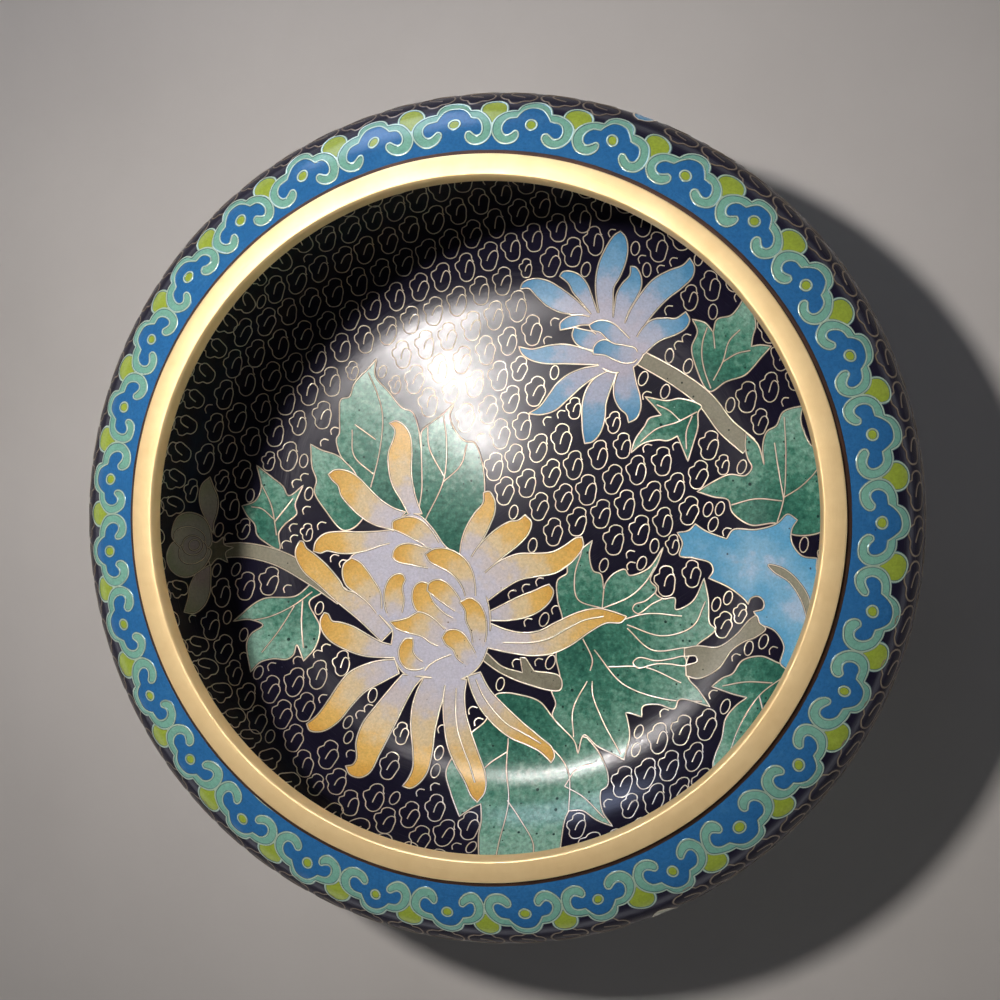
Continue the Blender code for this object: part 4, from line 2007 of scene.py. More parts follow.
GOLD_OUTER = (
    Petal((
        (-34.3, 2.2), (-36.3, 6.5), (-38.6, 11), (-39.6, 17), (-39.2, 21.5), (-37.4, 25.5), (-36.9, 28),
        (-38.4, 30.2, SHARP), (-36.2, 30.7), (-33.7, 29), (-32.2, 26), (-32, 21), (-32.5, 15), (-32, 9),
        (-31, 5), (-29.9, 1.9),
    )),
    Petal((
        (-35.1, 2.8), (-38.3, 4), (-42, 6.5), (-45.1, 9.6), (-48.3, 13.4), (-50.8, 15.6), (-53.3, 16.8),
        (-56.4, 17), (-58.3, 15.8, SHARP), (-57.3, 14), (-55.6, 12.1), (-54.8, 9), (-52.6, 5.9),
        (-50.1, 3.1), (-47, 0.6), (-43.9, -1), (-39.5, -2.3),
    )),
    Petal((
        (-39.5, -2.4), (-44.5, -2.6), (-50, -2.5), (-56, -2), (-60.5, -2.4), (-63.3, -4.6),
        (-64.2, -7.6, SHARP), (-62, -8.3), (-60.2, -7.7), (-56.5, -8.6), (-52, -8.9), (-47.5, -8.2),
        (-43, -6.9), (-38.8, -6.2),
    )),
    Petal((
        (-41, -33), (-44, -29.2), (-48, -24.6), (-51.5, -21.3), (-55.2, -19.7), (-56.5, -17.2),
        (-60.5, -11.9), (-64, -8.4), (-66.3, -6.4), (-67.2, -4.4), (-68.1, -4.2, SHARP), (-69.4, -6.4),
        (-69.6, -9), (-67.5, -13.6), (-63, -18.1), (-57.5, -23.6), (-51, -29.5), (-44.5, -36.2),
    )),
    Petal((
        (-41, -37.4), (-44.5, -36.3), (-48.5, -34), (-53, -31.2), (-57, -29.7), (-59.3, -29.2),
        (-60.5, -27), (-61.6, -26.6, SHARP), (-62.8, -28.5), (-62.6, -31.5), (-60.5, -34.8), (-56, -37.8),
        (-50, -40.2), (-44, -41), (-40.5, -41.2),
    )),
    Petal((
        (-40.5, -41.8), (-45, -41.9), (-50, -43), (-54.3, -45), (-57.3, -48.2), (-60.5, -53), (-64, -57.8),
        (-67, -60.3, SHARP), (-66, -62.4), (-62, -62.6), (-57.5, -59.8), (-53.5, -55), (-49.5, -51),
        (-45, -48.7), (-39.3, -46),
    )),
    Petal((
        (-38.2, -46.3), (-41, -49.2), (-46.5, -55.5), (-50.3, -60.5), (-52.1, -66), (-51.9, -71.2),
        (-53, -73), (-55, -73.4, SHARP), (-53.8, -76), (-50.7, -77), (-47.8, -75.5), (-45, -70), (-41, -62),
        (-37, -54), (-34.5, -50), (-32, -47.4),
    )),
    Petal((
        (-31.8, -47.5), (-33.9, -51.3), (-35.4, -56), (-35.8, -62), (-35.1, -69), (-35, -74),
        (-36.2, -77.3), (-37.8, -79.5, SHARP), (-35.5, -80.2), (-33, -78.8), (-30.6, -75.5), (-29.3, -70),
        (-28.6, -63.5), (-27.2, -57.5), (-25.9, -53.3), (-25, -48),
    )),
    Petal(
        (
            (-25, -48), (-26, -54), (-25.8, -61), (-24.8, -67.5), (-22.5, -73), (-19.5, -78),
            (-17.2, -82.6), (-15.3, -84.5, SHARP), (-13.2, -81.5), (-13.2, -76.5), (-15.5, -70),
            (-17.5, -64.5), (-19.2, -58.5), (-19.5, -53), (-18.7, -48.5),
        ),
        (((-22, -51), (-22.3, -57.3), (-21.7, -63.3), (-20, -68.7), (-18.3, -72.7), (-16.3, -78.7)),),
    ),
    Petal(
        (
            (-18.5, -47.5), (-17.3, -52), (-14.8, -57.2), (-11, -61.8), (-6, -65.8), (-1, -68), (3, -70),
            (5, -71.8), (6.3, -73.2, SHARP), (7.3, -71.5), (6.5, -68.8), (3, -65.8), (-2, -61.7),
            (-7.5, -56.5), (-12, -51.5), (-14.5, -46.5),
        ),
        (((-16, -48.5), (-14, -53.3), (-10.7, -58), (-6.7, -62), (-1.3, -65), (3.3, -67.7)),),
    ),
    Petal(
        (
            (-10.5, -32.2), (-6.5, -34), (-1.5, -35.2), (3.5, -35), (9, -32.6), (16, -29.8), (21.5, -28.9),
            (26, -30), (30, -31.6, SHARP), (28.3, -33.3), (24, -33.3), (19, -35.7), (13, -39.5),
            (7.5, -41.7), (1, -42.1), (-6, -40.9), (-12.2, -39.3),
        ),
        (((-7.3, -38), (1.3, -38.3), (6.7, -37.3), (12, -34.7), (17.3, -32.3), (23.3, -31.3)),),
    ),
    Petal((
        (-10.6, -28.4), (-7, -26.8), (-2, -24.6), (3, -22.9), (6, -21.7), (7.7, -21.2, SHARP), (8.9, -23.2),
        (8, -25.8), (5, -28.6), (0.5, -30.6), (-5, -31.4), (-10.6, -31.3),
    )),
    Petal((
        (-14, -18.6), (-10.5, -15.9), (-6, -13.2), (-1, -11.7), (4, -11.8), (9, -11.7), (13, -10),
        (16.5, -7.9), (18.3, -7.7, SHARP), (18.6, -10.3), (16.5, -13.4), (13.6, -15.9), (9.5, -18),
        (4, -18.7), (-1, -19.5), (-6, -22), (-11, -25.2),
    )),
    Petal((
        (-16.5, -13.3), (-14, -9.9), (-10.5, -6.4), (-6.5, -3.5), (-3, -1.9), (-0.5, -1.7),
        (1.7, -0.2, SHARP), (3.5, -2.4), (2.6, -5.5), (-0.5, -8.8), (-5.5, -12.3), (-10.5, -16),
        (-14, -18.8),
    )),
    Petal((
        (-19, -11.2), (-18.1, -6.8), (-16.3, -2.6), (-13.5, 1.3), (-10.8, 4.2), (-10.5, 7.2, SHARP),
        (-8.8, 7.5), (-7.3, 5), (-7.3, 1.5), (-9, -2.5), (-11.5, -6.8), (-14.2, -10.2), (-16.6, -13.6),
    )),
)
GOLD_HEART = (
    (-52, -9.3), (-47, -8), (-42, -6.3), (-39, -2.3), (-35, 1.9), (-31, 1.6), (-27, -2.5), (-23, -8.5),
    (-18, -12), (-14.3, -17.5), (-11.2, -25.3), (-10.8, -31.5), (-12, -39.5), (-15, -45), (-20, -48.2),
    (-25.5, -48.5), (-31, -47.3), (-37.5, -46.2), (-40.2, -42.5), (-41.5, -38), (-41, -33), (-44.5, -28.5),
    (-48, -24), (-51, -21), (-53.5, -17), (-54, -12),
)
GOLD_FOLD = ((-31.4, -45.4), (-29.6, -43.6), (-27, -42.2), (-23.2, -41))
GOLD_INNER = (
    Petal((
        (-24, -9.5), (-26.2, -4.9), (-28.8, -1.3), (-31.3, 0.6), (-34, 1.3), (-37, 1), (-39.3, 0),
        (-39.4, -2.3, SHARP), (-37, -3.4), (-33.5, -5.3), (-30.5, -7.2), (-28, -9.3),
    )),
    Petal((
        (-27, -9), (-30.5, -8), (-34, -6.9), (-37.3, -7.1), (-39.5, -8.8), (-40, -10.8, SHARP),
        (-38.5, -12.2), (-34, -13.4), (-29, -14.6), (-23.5, -15.4),
    )),
    Petal((
        (-14.9, -25), (-14.7, -20.5), (-15.4, -16), (-17.5, -12.3), (-20.5, -10), (-24, -8.8), (-27.2, -9),
        (-29.6, -10.4, SHARP), (-28.4, -12.6), (-25, -14.7), (-21.8, -16.7), (-19.3, -19.8), (-18.1, -23),
        (-18, -25),
    )),
    Petal((
        (-44, -27), (-44.3, -21), (-46.2, -17.4), (-48.3, -14), (-50.3, -11.6), (-52.7, -10.3, SHARP),
        (-55.1, -12), (-55.7, -15.4), (-54.6, -18.7), (-52, -21), (-48.5, -24), (-45, -28.5),
    )),
    Petal((
        (-42.2, -29), (-43.2, -24.5), (-42.9, -20.5), (-41.3, -17.3), (-39, -15.9), (-37, -16.2),
        (-36.3, -17.8, SHARP), (-37.3, -20), (-37, -24), (-38.2, -29),
    )),
    Petal((
        (-21, -30.5), (-24, -29), (-27.5, -25.5), (-29, -22), (-29.4, -19.2, SHARP), (-31.5, -18.7),
        (-33.6, -20), (-34.5, -23.5), (-33.3, -27.3), (-30, -29.6), (-25.5, -32.5), (-21, -36),
    )),
    Petal((
        (-19.2, -29.5), (-22.5, -27.2), (-26.5, -24.2), (-29.7, -21.4, SHARP), (-29, -19.2), (-26.3, -18.2),
        (-23.3, -19.5), (-20.8, -22.5), (-19, -25.8),
    )),
    Petal((
        (-12.9, -39), (-11.9, -33.5), (-12.3, -29), (-14.2, -25.6), (-16.8, -24.2), (-19.8, -25.4, SHARP),
        (-18.3, -28), (-18.2, -31), (-16.9, -34.5), (-16.4, -39),
    )),
    Petal((
        (-24.5, -33.8), (-28.5, -29.6), (-32.5, -27.8), (-36, -29.3), (-39, -30), (-41.7, -30.3, SHARP),
        (-39.8, -32.4), (-36, -34), (-32, -35.2), (-29, -37.5), (-24.5, -39),
    )),
    Petal((
        (-15.2, -42), (-17.2, -37.8), (-19, -35), (-21.5, -33.5), (-24.3, -33.9), (-25.8, -35.8, SHARP),
        (-24.6, -38), (-22.6, -39.6), (-21.5, -42), (-18.5, -44.5),
    )),
    Petal((
        (-31.5, -43), (-33.3, -41.9), (-34.8, -39.6), (-34.7, -37.3), (-34.8, -35.6, SHARP), (-37.3, -35.8),
        (-39.1, -38.4), (-39, -42), (-37, -44.6), (-33.8, -45.2), (-31.2, -44.4),
    )),
)

BLUE_OUTER = (
    Petal((
        (27.8, 57), (27.4, 61), (27.6, 66), (29, 71), (32, 75.8), (35.2, 79.3), (37.3, 80.3, SHARP),
        (38.5, 78.5), (38.6, 75), (37.3, 71), (35, 67), (32.9, 64.2), (32.2, 60), (31.7, 55.5),
    )),
    Petal((
        (31.7, 55.5), (32.6, 59.5), (33.6, 62.7), (35.5, 65.2), (38, 67.3), (38.6, 69.8, SHARP),
        (40.2, 69.3), (41.3, 66.8), (41, 63.6), (39, 60.3), (36.8, 57.4), (34.9, 53.6),
    )),
    Petal((
        (34.9, 53.6), (37, 57.3), (40.5, 61.6), (44.8, 65.4), (50, 67.5), (54.3, 68.6), (56.8, 70.5, SHARP),
        (57.7, 68), (56.7, 65), (53, 62.1), (48.5, 59.5), (44.5, 56.3), (41, 52.8), (37.8, 49),
    )),
    Petal((
        (37.8, 49), (40.2, 52), (43, 53.9), (47, 54), (50, 53.6), (52, 54.5), (53.2, 55.2, SHARP),
        (54.1, 52.9), (52.8, 50.6), (49.5, 49), (45, 47.8), (42, 46), (39.8, 44.2),
    )),
    Petal((
        (27.5, 57.2), (26.3, 62), (25.2, 66), (23.3, 68.8), (20.5, 70.3), (18.3, 70.3), (17.2, 69.2, SHARP),
        (19.5, 66.9), (20.6, 64.2), (22.5, 61.5), (25.3, 57.5),
    )),
    Petal((
        (25.2, 57.6), (21.5, 61.8), (17.5, 65.5), (13, 68.5), (9, 69.3), (6, 68.4), (5, 66.7, SHARP),
        (7.6, 66.6), (9.6, 64.2), (12.3, 61.2), (16.5, 58.7), (21, 57.6), (25.7, 56.6),
    )),
    Petal((
        (26, 56.2), (22.5, 57.4), (18.5, 57.3), (15.9, 55.6), (15.8, 53.7, SHARP), (19, 54), (22, 54.5),
        (25, 54.3),
    )),
    Petal((
        (25.5, 46.2), (21.5, 48), (17, 49.4), (12, 49.5), (7, 48.9), (4.8, 49.4), (3, 50, SHARP),
        (3.7, 47.9), (6, 45.9), (10.5, 44.3), (16, 43.8), (21, 43.2), (26, 42.6),
    )),
    Petal((
        (26.5, 42.3), (22, 42), (17.5, 40.7), (13.8, 38.3), (10.8, 34.8), (8, 31.7), (4.5, 29.9, SHARP),
        (8, 29.3), (12.5, 30.2), (17, 33.5), (21.5, 37), (25.5, 39.2), (28.6, 40.4),
    )),
    Petal((
        (28.6, 40.4), (25, 38.8), (22.2, 35.5), (20.8, 31.5), (20.4, 26.5), (20.4, 23), (20.8, 19.8, SHARP),
        (23.2, 20.2), (25.6, 22.7), (27.2, 27), (27.8, 31), (29.3, 35), (31.6, 39.6),
    )),
    Petal((
        (31.6, 39.6), (30.4, 36), (30.4, 32.3), (31.8, 29.2), (33.5, 27.4), (34, 25, SHARP), (36.3, 26),
        (37.8, 28.8), (37.9, 32), (37, 36.5), (36.4, 41.2),
    )),
)
BLUE_HEART = (
    (25, 57.3), (28, 57.6), (31.7, 56), (35, 54), (37.8, 49.3), (39.7, 44.5), (36.6, 41), (31.6, 39.8),
    (28.6, 40.8), (26, 42.8), (25.3, 46.5), (25.5, 50), (25, 54.3),
)
BLUE_INNER = (
    Petal((
        (36.9, 48.2), (34.8, 50.8), (31.8, 53.9), (29, 55.2), (26.5, 55.2), (24.5, 54.3, SHARP),
        (25.2, 52.8), (27.5, 51.9), (29.4, 49.8), (31.5, 48.1), (35.5, 47.1),
    )),
    Petal((
        (27, 50.6), (25.5, 52.2), (22.5, 53.2), (20, 54.1, SHARP), (19.2, 51.8), (20.3, 49.2), (22.8, 47.6),
        (25.3, 46.8),
    )),
    Petal((
        (38.1, 44.6), (37.6, 46.2), (35, 47.3), (31.5, 48.2), (29, 49.6), (26.8, 49.3), (25.2, 47.6),
        (25, 45.8, SHARP), (28.5, 45.1), (31, 43.6), (34, 42.3), (36.8, 42.4), (38.2, 43.6),
    )),
)

WHITE_LONG = (
    Petal((
        (-96, 4.2), (-97.4, 7.6), (-97.8, 11.5), (-96.7, 15.3), (-94, 17.5, SHARP), (-93.1, 14.5),
        (-91.9, 10.5), (-92.4, 6.3), (-93.7, 2.8), (-94, -0.5),
    )),
    Petal((
        (-100.3, -12.6), (-102.4, -16.5), (-103.3, -20.5), (-105, -25, SHARP), (-101.5, -25.4),
        (-98.2, -23.2), (-96.2, -19.5), (-95.5, -14.5), (-95.4, -10),
    )),
)
WHITE_LOBES = (
    (
        (-107.6, -1.2), (-107.3, 2.6), (-105.5, 5.6), (-102.5, 6.8), (-99, 6.2), (-96.2, 4.2), (-94.8, 0.5),
        (-95, -4), (-100, -6),
    ),
    (
        (-107, -2.2), (-109.2, -4.3), (-110.2, -7.5), (-109.2, -10.8), (-106.5, -13.1), (-103, -13.7),
        (-99.5, -12.3), (-96.5, -9.5), (-95, -5.5), (-100, -3),
    ),
)
WHITE_ROUNDS = (
    ((-101.8, -1.4), 5.4, 3.7, -0.2),
    ((-100.9, -5.6), 4.9, 3.9, 0.35),
    ((-100.8, -3.7), 3.5, 3.1, 0.0),
    ((-100.2, -3.6), 1.9, 1.7, 0.5),
)
CALYX_EDGE = (
    (-96, -1.5), (-93.5, -3.2), (-91, -1.6, SHARP), (-90.8, -4), (-88, -5, SHARP), (-90.5, -6.5),
    (-90, -9.6, SHARP), (-93, -8.2), (-95.5, -10.5, SHARP), (-96.5, -6),
)


def flower(
    petals: Sequence[Petal],
    heart: Sequence[Point],
    inner: Sequence[Petal],
    enamel: Enamel,
    folds: Sequence[Sequence[Point]] = (),
) -> list[Figure]:
    """Draws a flower: its heart, the petals round it and the petals that curl over it.

    Args:
        petals: The outer petals.
        heart: The outline of the pale middle that they open into.
        inner: The petals over the heart, lowest first.
        enamel: What fills it all.
        folds: The points of each wire that crosses the heart.

    Returns:
        The figures, lowest first.
    """
    veins = [open_line(fold) for fold in folds]
    middle = Figure(enamel=enamel, line=outline(heart), family=enamel.value, veins=veins)
    return [middle, *(petal.figure(enamel) for petal in (*petals, *inner))]


def plain_figure(enamel: Enamel, edge: Sequence[tuple], tint: float) -> Figure:
    """Draws a figure with one even tint."""
    return Figure(enamel=enamel, line=outline(edge), shading=shade_evenly(tint))


def rock() -> list[Figure]:
    """Draws the garden rock, blue at its edges and pale in its middle, with its grey groove."""
    line = outline(ROCK_EDGE)
    return [
        Figure(enamel=Enamel.ROCK, line=line, shading=shade_inwards(line[::2], depth=13.0)),
        plain_figure(Enamel.STEM, ROCK_GROOVE, 0.7),
    ]


def twig() -> list[Figure]:
    """Draws the bare twig between the rock and the leaves, with the leaf-green loop at its end."""
    return [plain_figure(Enamel.LEAF, TWIG_LOOP, 0.6), plain_figure(Enamel.STEM, TWIG_EDGE, 0.6)]


def white_blossom() -> list[Figure]:
    """Draws the small white blossom at the left: two long petals, two lobes and a curled middle."""
    enamel = Enamel.WHITE_PETAL
    figures = [petal.figure(enamel) for petal in WHITE_LONG]
    lines = [*(outline(lobe) for lobe in WHITE_LOBES), *(oval(*middle) for middle in WHITE_ROUNDS)]
    shading = shade_from(WHITE_ROUNDS[-1][0], reach=11.0)
    return [*figures, *(Figure(enamel=enamel, line=line, shading=shading) for line in lines)]


def drawn(*shapes: Leaf | Stalk) -> list[Figure]:
    """Draws leaves and stems."""
    return [shape.figure() for shape in shapes]


def inside_figures() -> list[Figure]:
    """Draws everything in the spray inside the bowl, lowest first."""
    return [
        *drawn(*UPPER_LEFT_LEAVES, *LEFT_LEAVES, LEFT_STEM),
        plain_figure(Enamel.STEM, CALYX_EDGE, 0.1),
        *white_blossom(),
        *drawn(RIGHT_STEM, *RIGHT_LEAVES, RIM_LEAF),
        *rock(),
        *drawn(BOTTOM_LEAF, BIG_LEAF),
        *twig(),
        plain_figure(Enamel.STEM, BRANCH_EDGE, 0.3),
        *flower(BLUE_OUTER, BLUE_HEART, BLUE_INNER, Enamel.BLUE_PETAL),
        *flower(GOLD_OUTER, GOLD_HEART, GOLD_INNER, Enamel.GOLD_PETAL, (GOLD_FOLD,)),
    ]


# ---------------------------------------------------------------------------------------------
# The ground of small wire clouds
# ---------------------------------------------------------------------------------------------

CLOUD_PATH = (
    (-0.4, -1.3), (0.1, 0.2), (0.8, 1.4), (1.7, 1.9), (2.6, 1.4), (2.9, 0.1), (2.55, -1.4), (2.0, -2.6),
    (1.1, -3.8), (-0.2, -4.2), (-1.5, -3.8), (-2.45, -2.5), (-2.15, -1.1), (-2.9, 0.3), (-2.7, 1.8),
    (-1.4, 2.5), (-1.0, 3.5), (0.3, 4.3), (1.8, 4.2), (2.7, 3.2), (2.55, 2.2), (2.75, 1.2),
)
HOOK_PATH = ((-1.1, -1.1), (-1.3, 0.3), (-0.3, 1.2), (1.2, 0.9))
# How many full clouds differ, and the distance between the points of their wires, in mm
CLOUD_VARIANTS = 3
CLOUD_STEP = 0.85


@dataclass(frozen=True)
class Cloud:
    """One cell of the ground.

    Attributes:
        place: Its middle on the plan.
        kind: Which wire shape it is.
        lean: How far it is turned, in radians.
        size: Its size as a share of the shape's own.
    """

    place: Point
    kind: int
    lean: float
    size: float


class CloudShapes:
    """The wire shapes of the ground: full clouds, a small ring and a hook for narrow gaps."""

    def __init__(self, seed: int) -> None:
        """Draws the shapes, the full ones each a little different."""
        draw = random.Random(seed)
        self.lines: list[list[Point]] = []
        for _ in range(CLOUD_VARIANTS):
            bend = [[draw.uniform(-0.16, 0.16) for _ in point] for point in CLOUD_PATH]
            bent = [(x + right, y + up) for (x, y), (right, up) in zip(CLOUD_PATH, bend)]
            self.lines.append(open_line(bent, CLOUD_STEP))
        ring = oval((0.0, 0.0), 1.25, 2.1, -0.35, 14)
        self.ring = len(self.lines)
        self.lines.append([*ring, ring[0]])
        self.hook = len(self.lines)
        self.lines.append(open_line(HOOK_PATH))

    def placed(self, cloud: Cloud, squeeze: float = 1.0) -> list[Point]:
        """Returns every third point of a cloud's wire where it lies on the plan."""
        cosine, sine = math.cos(cloud.lean), math.sin(cloud.lean)
        x, y = cloud.place
        reach = max(math.hypot(x, y), 1e-6)
        across = (-y / reach, x / reach)
        points = []
        for along, up in self.lines[cloud.kind][::3]:
            step_x = (along * cosine - up * sine) * cloud.size
            step_y = (along * sine + up * cosine) * cloud.size
            extra = (step_x * across[0] + step_y * across[1]) * (squeeze - 1.0)
            points.append((x + step_x + across[0] * extra, y + step_y + across[1] * extra))
        return points

    def collection(self) -> Collection:
        """Makes a collection of the shapes as edges, named so that they keep their order."""
        shapes = bpy.data.collections.new("cloud_shapes")
        for index, line in enumerate(self.lines):
            closed = index == self.ring
            places = line[:-1] if closed else line
            edges = joints(len(places))
            if closed:
                edges.append((len(places) - 1, 0))
            mesh = bpy.data.meshes.new(f"cloud_shape_{index}")
            mesh.from_pydata(flat_places(places), edges, [])
            shapes.objects.link(bpy.data.objects.new(mesh.name, mesh))
        return shapes


class CloudGround:
    """Packs clouds round the figures of a picture.

    Attributes:
        figure_gap: How far a cloud's wire keeps from a figure, in millimetres.
        cloud_gap: How far a full cloud's wire keeps from the others.
        small_gap: How far a ring or a hook keeps from the others.
        square: The side of the squares that wires are looked up by.
        sizes: The sizes that a full cloud is tried in.
        shifts: How far from the nearest figure a full cloud is tried.
        small_shifts: The same for a ring.
        gap_step: The distance between the places where gaps are looked for.
        free: How far such a place has to be from every wire.
        cloud_reach: How far a full cloud reaches from its middle.
        filled_share: The share of the gaps that are filled.
    """

    figure_gap = 0.45
    cloud_gap = 0.75
    small_gap = 1.15
    square = 2.0
    sizes = (1.0, 0.88, 0.76, 0.66)
    shifts = (0.0, 0.6, 1.2)
    small_shifts = (0.0, 0.8)
    gap_step = 1.7
    free = 1.8
    cloud_reach = 5.2
    filled_share = 0.6

    def __init__(
        self, shapes: CloudShapes, picture: Picture, radii: RadiusAlong, start: float, seed: int
    ) -> None:
        """Starts an empty ground.

        Args:
            shapes: The wire shapes.
            picture: The picture whose figures the clouds keep clear of.
            radii: Gives the skin's radius along its section.
            start: The plan radius at which the section starts, in millimetres.
            seed: Fixes the small differences between clouds.
        """
        self.shapes = shapes
        self.picture = picture
        self.radii = radii
        self.start = start
        self.draw = random.Random(seed)
        self.clouds: list[Cloud] = []
        self.taken: dict[tuple[int, int], list[Point]] = {}
        self.span = (0.0, math.inf)

    def squeeze(self, place: Point) -> float:
        """Returns how much wider the plan is than the skin at a place."""
        reach = math.hypot(*place)
        return reach / max(self.radii.at(reach - self.start), 1.0)

    def crowded(self, point: Point, gap: float) -> bool:
        """Tells whether a cloud's wire already passes within a gap of a point."""
        column, row = self.square_of(point)
        return any(
            away(point, other) < gap
            for near_column in range(column - 1, column + 2)
            for near_row in range(row - 1, row + 2)
            for other in self.taken.get((near_column, near_row), ())
        )

    def square_of(self, point: Point) -> tuple[int, int]:
        """Returns the column and row of the square that a point is in."""
        return math.floor(point[0] / self.square), math.floor(point[1] / self.square)

    def fits(self, cloud: Cloud) -> bool:
        """Tells whether a cloud keeps clear of the figures and of the other clouds."""
        low, high = self.span
        if not low < math.hypot(*cloud.place) - self.start < high:
            return False
        cloud_gap = self.cloud_gap if cloud.kind < CLOUD_VARIANTS else self.small_gap
        for point in self.shapes.placed(cloud, self.squeeze(cloud.place)):
            if self.picture.nearest(point)[1] < self.figure_gap or self.crowded(point, cloud_gap):
                return False
        return True

    def place(self, cloud: Cloud) -> None:
        """Adds a cloud."""
        self.clouds.append(cloud)
        for point in self.shapes.placed(cloud, self.squeeze(cloud.place)):
            self.taken.setdefault(self.square_of(point), []).append(point)

    def try_place(self, place: Point, lean: float, full: bool = True) -> None:
        """Adds the largest cloud that fits at or near a place, if any does.

        Args:
            place: Where its middle should be.
            lean: How far an upright shape is turned.
            full: False to try the small shapes only.
        """
        tries: list[tuple[int, float, float]] = []
        if full:
            kind = self.draw.randrange(CLOUD_VARIANTS)
            tries += [(kind, size, shift) for size in self.sizes for shift in self.shifts]
        else:
            if self.draw.random() < 0.5:
                tries.append((self.shapes.hook, 1.0, 0.0))
            tries += [(self.shapes.ring, 1.0, shift) for shift in self.small_shifts]
        jitter = self.draw.uniform(-0.14, 0.14)
        spread = self.draw.uniform(0.95, 1.05)
        near, distance, _ = self.picture.nearest(place)
        for kind, size, shift in tries:
            if distance < NEAR:
                break
            push = shift / distance
            moved = (place[0] + (place[0] - near[0]) * push, place[1] + (place[1] - near[1]) * push)
            cloud = Cloud(moved, kind, lean + jitter, size * spread)
            if self.fits(cloud):
                self.place(cloud)
                return

    def inside_cloud(self, place: Point) -> bool:
        """Tells whether a place is within or close round a full cloud."""
        return any(
            cloud.kind < CLOUD_VARIANTS and away(cloud.place, place) < self.cloud_reach * cloud.size
            for cloud in self.clouds
        )

    def fill_rings(self, first: float, last: float, row_gap: float, pitch: float, lean: float) -> None:
        """Fills rings with full clouds, each ring's between those of the ring before.

        Args:
            first: How far along the section the first ring lies.
            last: Where the rings end.
            row_gap: The distance between rings.
            pitch: The distance between the clouds of a ring.
            lean: How far a cloud is turned from the direction of its place.
        """
        along, odd = first, 0.0
        while along < last:
            count = round(math.tau * self.radii.at(along) / pitch)
            for index in range(count):
                turn = math.tau * (index + odd) / count
                self.try_place(on_circle(self.start + along, turn), turn + lean)
            odd = 0.5 - odd
            along += row_gap

    def fill_gaps(self, reach: float, lean: float) -> None:
        """Puts rings and hooks in the gaps that are left, out to a plan radius."""
        count = math.ceil(reach / self.gap_step)
        for row in range(-count, count + 1):
            for column in range(-count, count + 1):
                place = ((column + 0.5 * (row % 2)) * self.gap_step, row * self.gap_step)
                if math.hypot(*place) > reach or self.crowded(place, self.free) or self.inside_cloud(place):
                    continue
                if self.draw.random() < self.filled_share:
                    self.try_place(place, lean, full=False)

    def plan(self) -> Mesh:
        """Makes the mesh of points that the cloud tree sets its shapes at."""
        mesh = bpy.data.meshes.new("clouds_plan")
        mesh.from_pydata(flat_places(cloud.place for cloud in self.clouds), [], [])
        kinds = mesh.attributes.new("kind", "INT", "POINT")
        kinds.data.foreach_set("value", [cloud.kind for cloud in self.clouds])
        for name in ("lean", "size"):
            values = mesh.attributes.new(name, "FLOAT", "POINT")
            values.data.foreach_set("value", [getattr(cloud, name) for cloud in self.clouds])
        return mesh


@dataclass(frozen=True)
class InsideGround:
    """The clouds inside the bowl: in a slanting lattice on the floor and in rings up the wall.

    Attributes:
        across: The step from one cloud of a row to the next.
        down: The step from one row to the next.
        origin: Where one cloud of the lattice lies.
        rows: How many rows there are on each side of that cloud.
        columns: How many clouds a row has on each side.
        jitter: How far a cloud strays from its place, each way.
        lattice_reach: The plan radius at which the lattice ends.
        row_gap: The distance between rings.
        pitch: The distance between the clouds of a ring.
        top: How far along the section the ground ends.
        margin: How far the rings keep from the lattice and from that end.
        overlap: How far past the lattice gaps are still filled.
    """

    across: Point = (7.3, 2.2)
    down: Point = (3.5, -7.6)
    origin: Point = (24.3, -1.4)
    rows: int = 22
    columns: int = 24
    jitter: float = 0.3
    lattice_reach: float = 103.0
    row_gap: float = 7.7
    pitch: float = 7.9
    top: float = 154.5
    margin: float = 4.0
    overlap: float = 3.0

    def fill(self, ground: CloudGround) -> None:
        """Fills an empty ground with clouds."""
        ground.span = (-1.0, self.top)
        steps = list(zip(self.origin, self.across, self.down))
        for row in range(-self.rows, self.rows + 1):
            for column in range(-self.columns, self.columns + 1):
                place = tuple(
                    middle + column * across + row * down + ground.draw.uniform(-self.jitter, self.jitter)
                    for middle, across, down in steps
                )
                if math.hypot(*place) < self.lattice_reach:
                    ground.try_place(place, 0.0)
        first, last = self.lattice_reach + self.margin, self.top - self.margin
        ground.fill_rings(first, last, self.row_gap, self.pitch, lean=-math.pi / 2.0)
        ground.fill_gaps(self.lattice_reach + self.overlap, lean=0.0)


@dataclass(frozen=True)
class OutsideGround:
    """The clouds outside the bowl, in rings from the border down to the foot.

    Attributes:
        first: How far along the section the first ring lies.
        row_gap: The distance between rings.
        pitch: The distance between the clouds of a ring.
        last: How far along the section the ground ends.
        lean: How far a cloud is turned from upright, in radians.
        above: How far before the first ring a cloud may lie.
        margin: How far before the ground's end the rings stop.
    """

    first: float = 16.4
    row_gap: float = 6.9
    pitch: float = 9.7
    last: float = 105.0
    lean: float = 0.12
    above: float = 2.0
    margin: float = 2.5

    def fill(self, ground: CloudGround) -> None:
        """Fills an empty ground with clouds."""
        ground.span = (self.first - self.above, self.last)
        ground.fill_rings(self.first, self.last - self.margin, self.row_gap, self.pitch, self.lean)


# ---------------------------------------------------------------------------------------------
# The border of scrolled heads on the shoulder
# ---------------------------------------------------------------------------------------------


# How many pieces an edge of the border's blue field is drawn in
FIELD_STEPS = 12


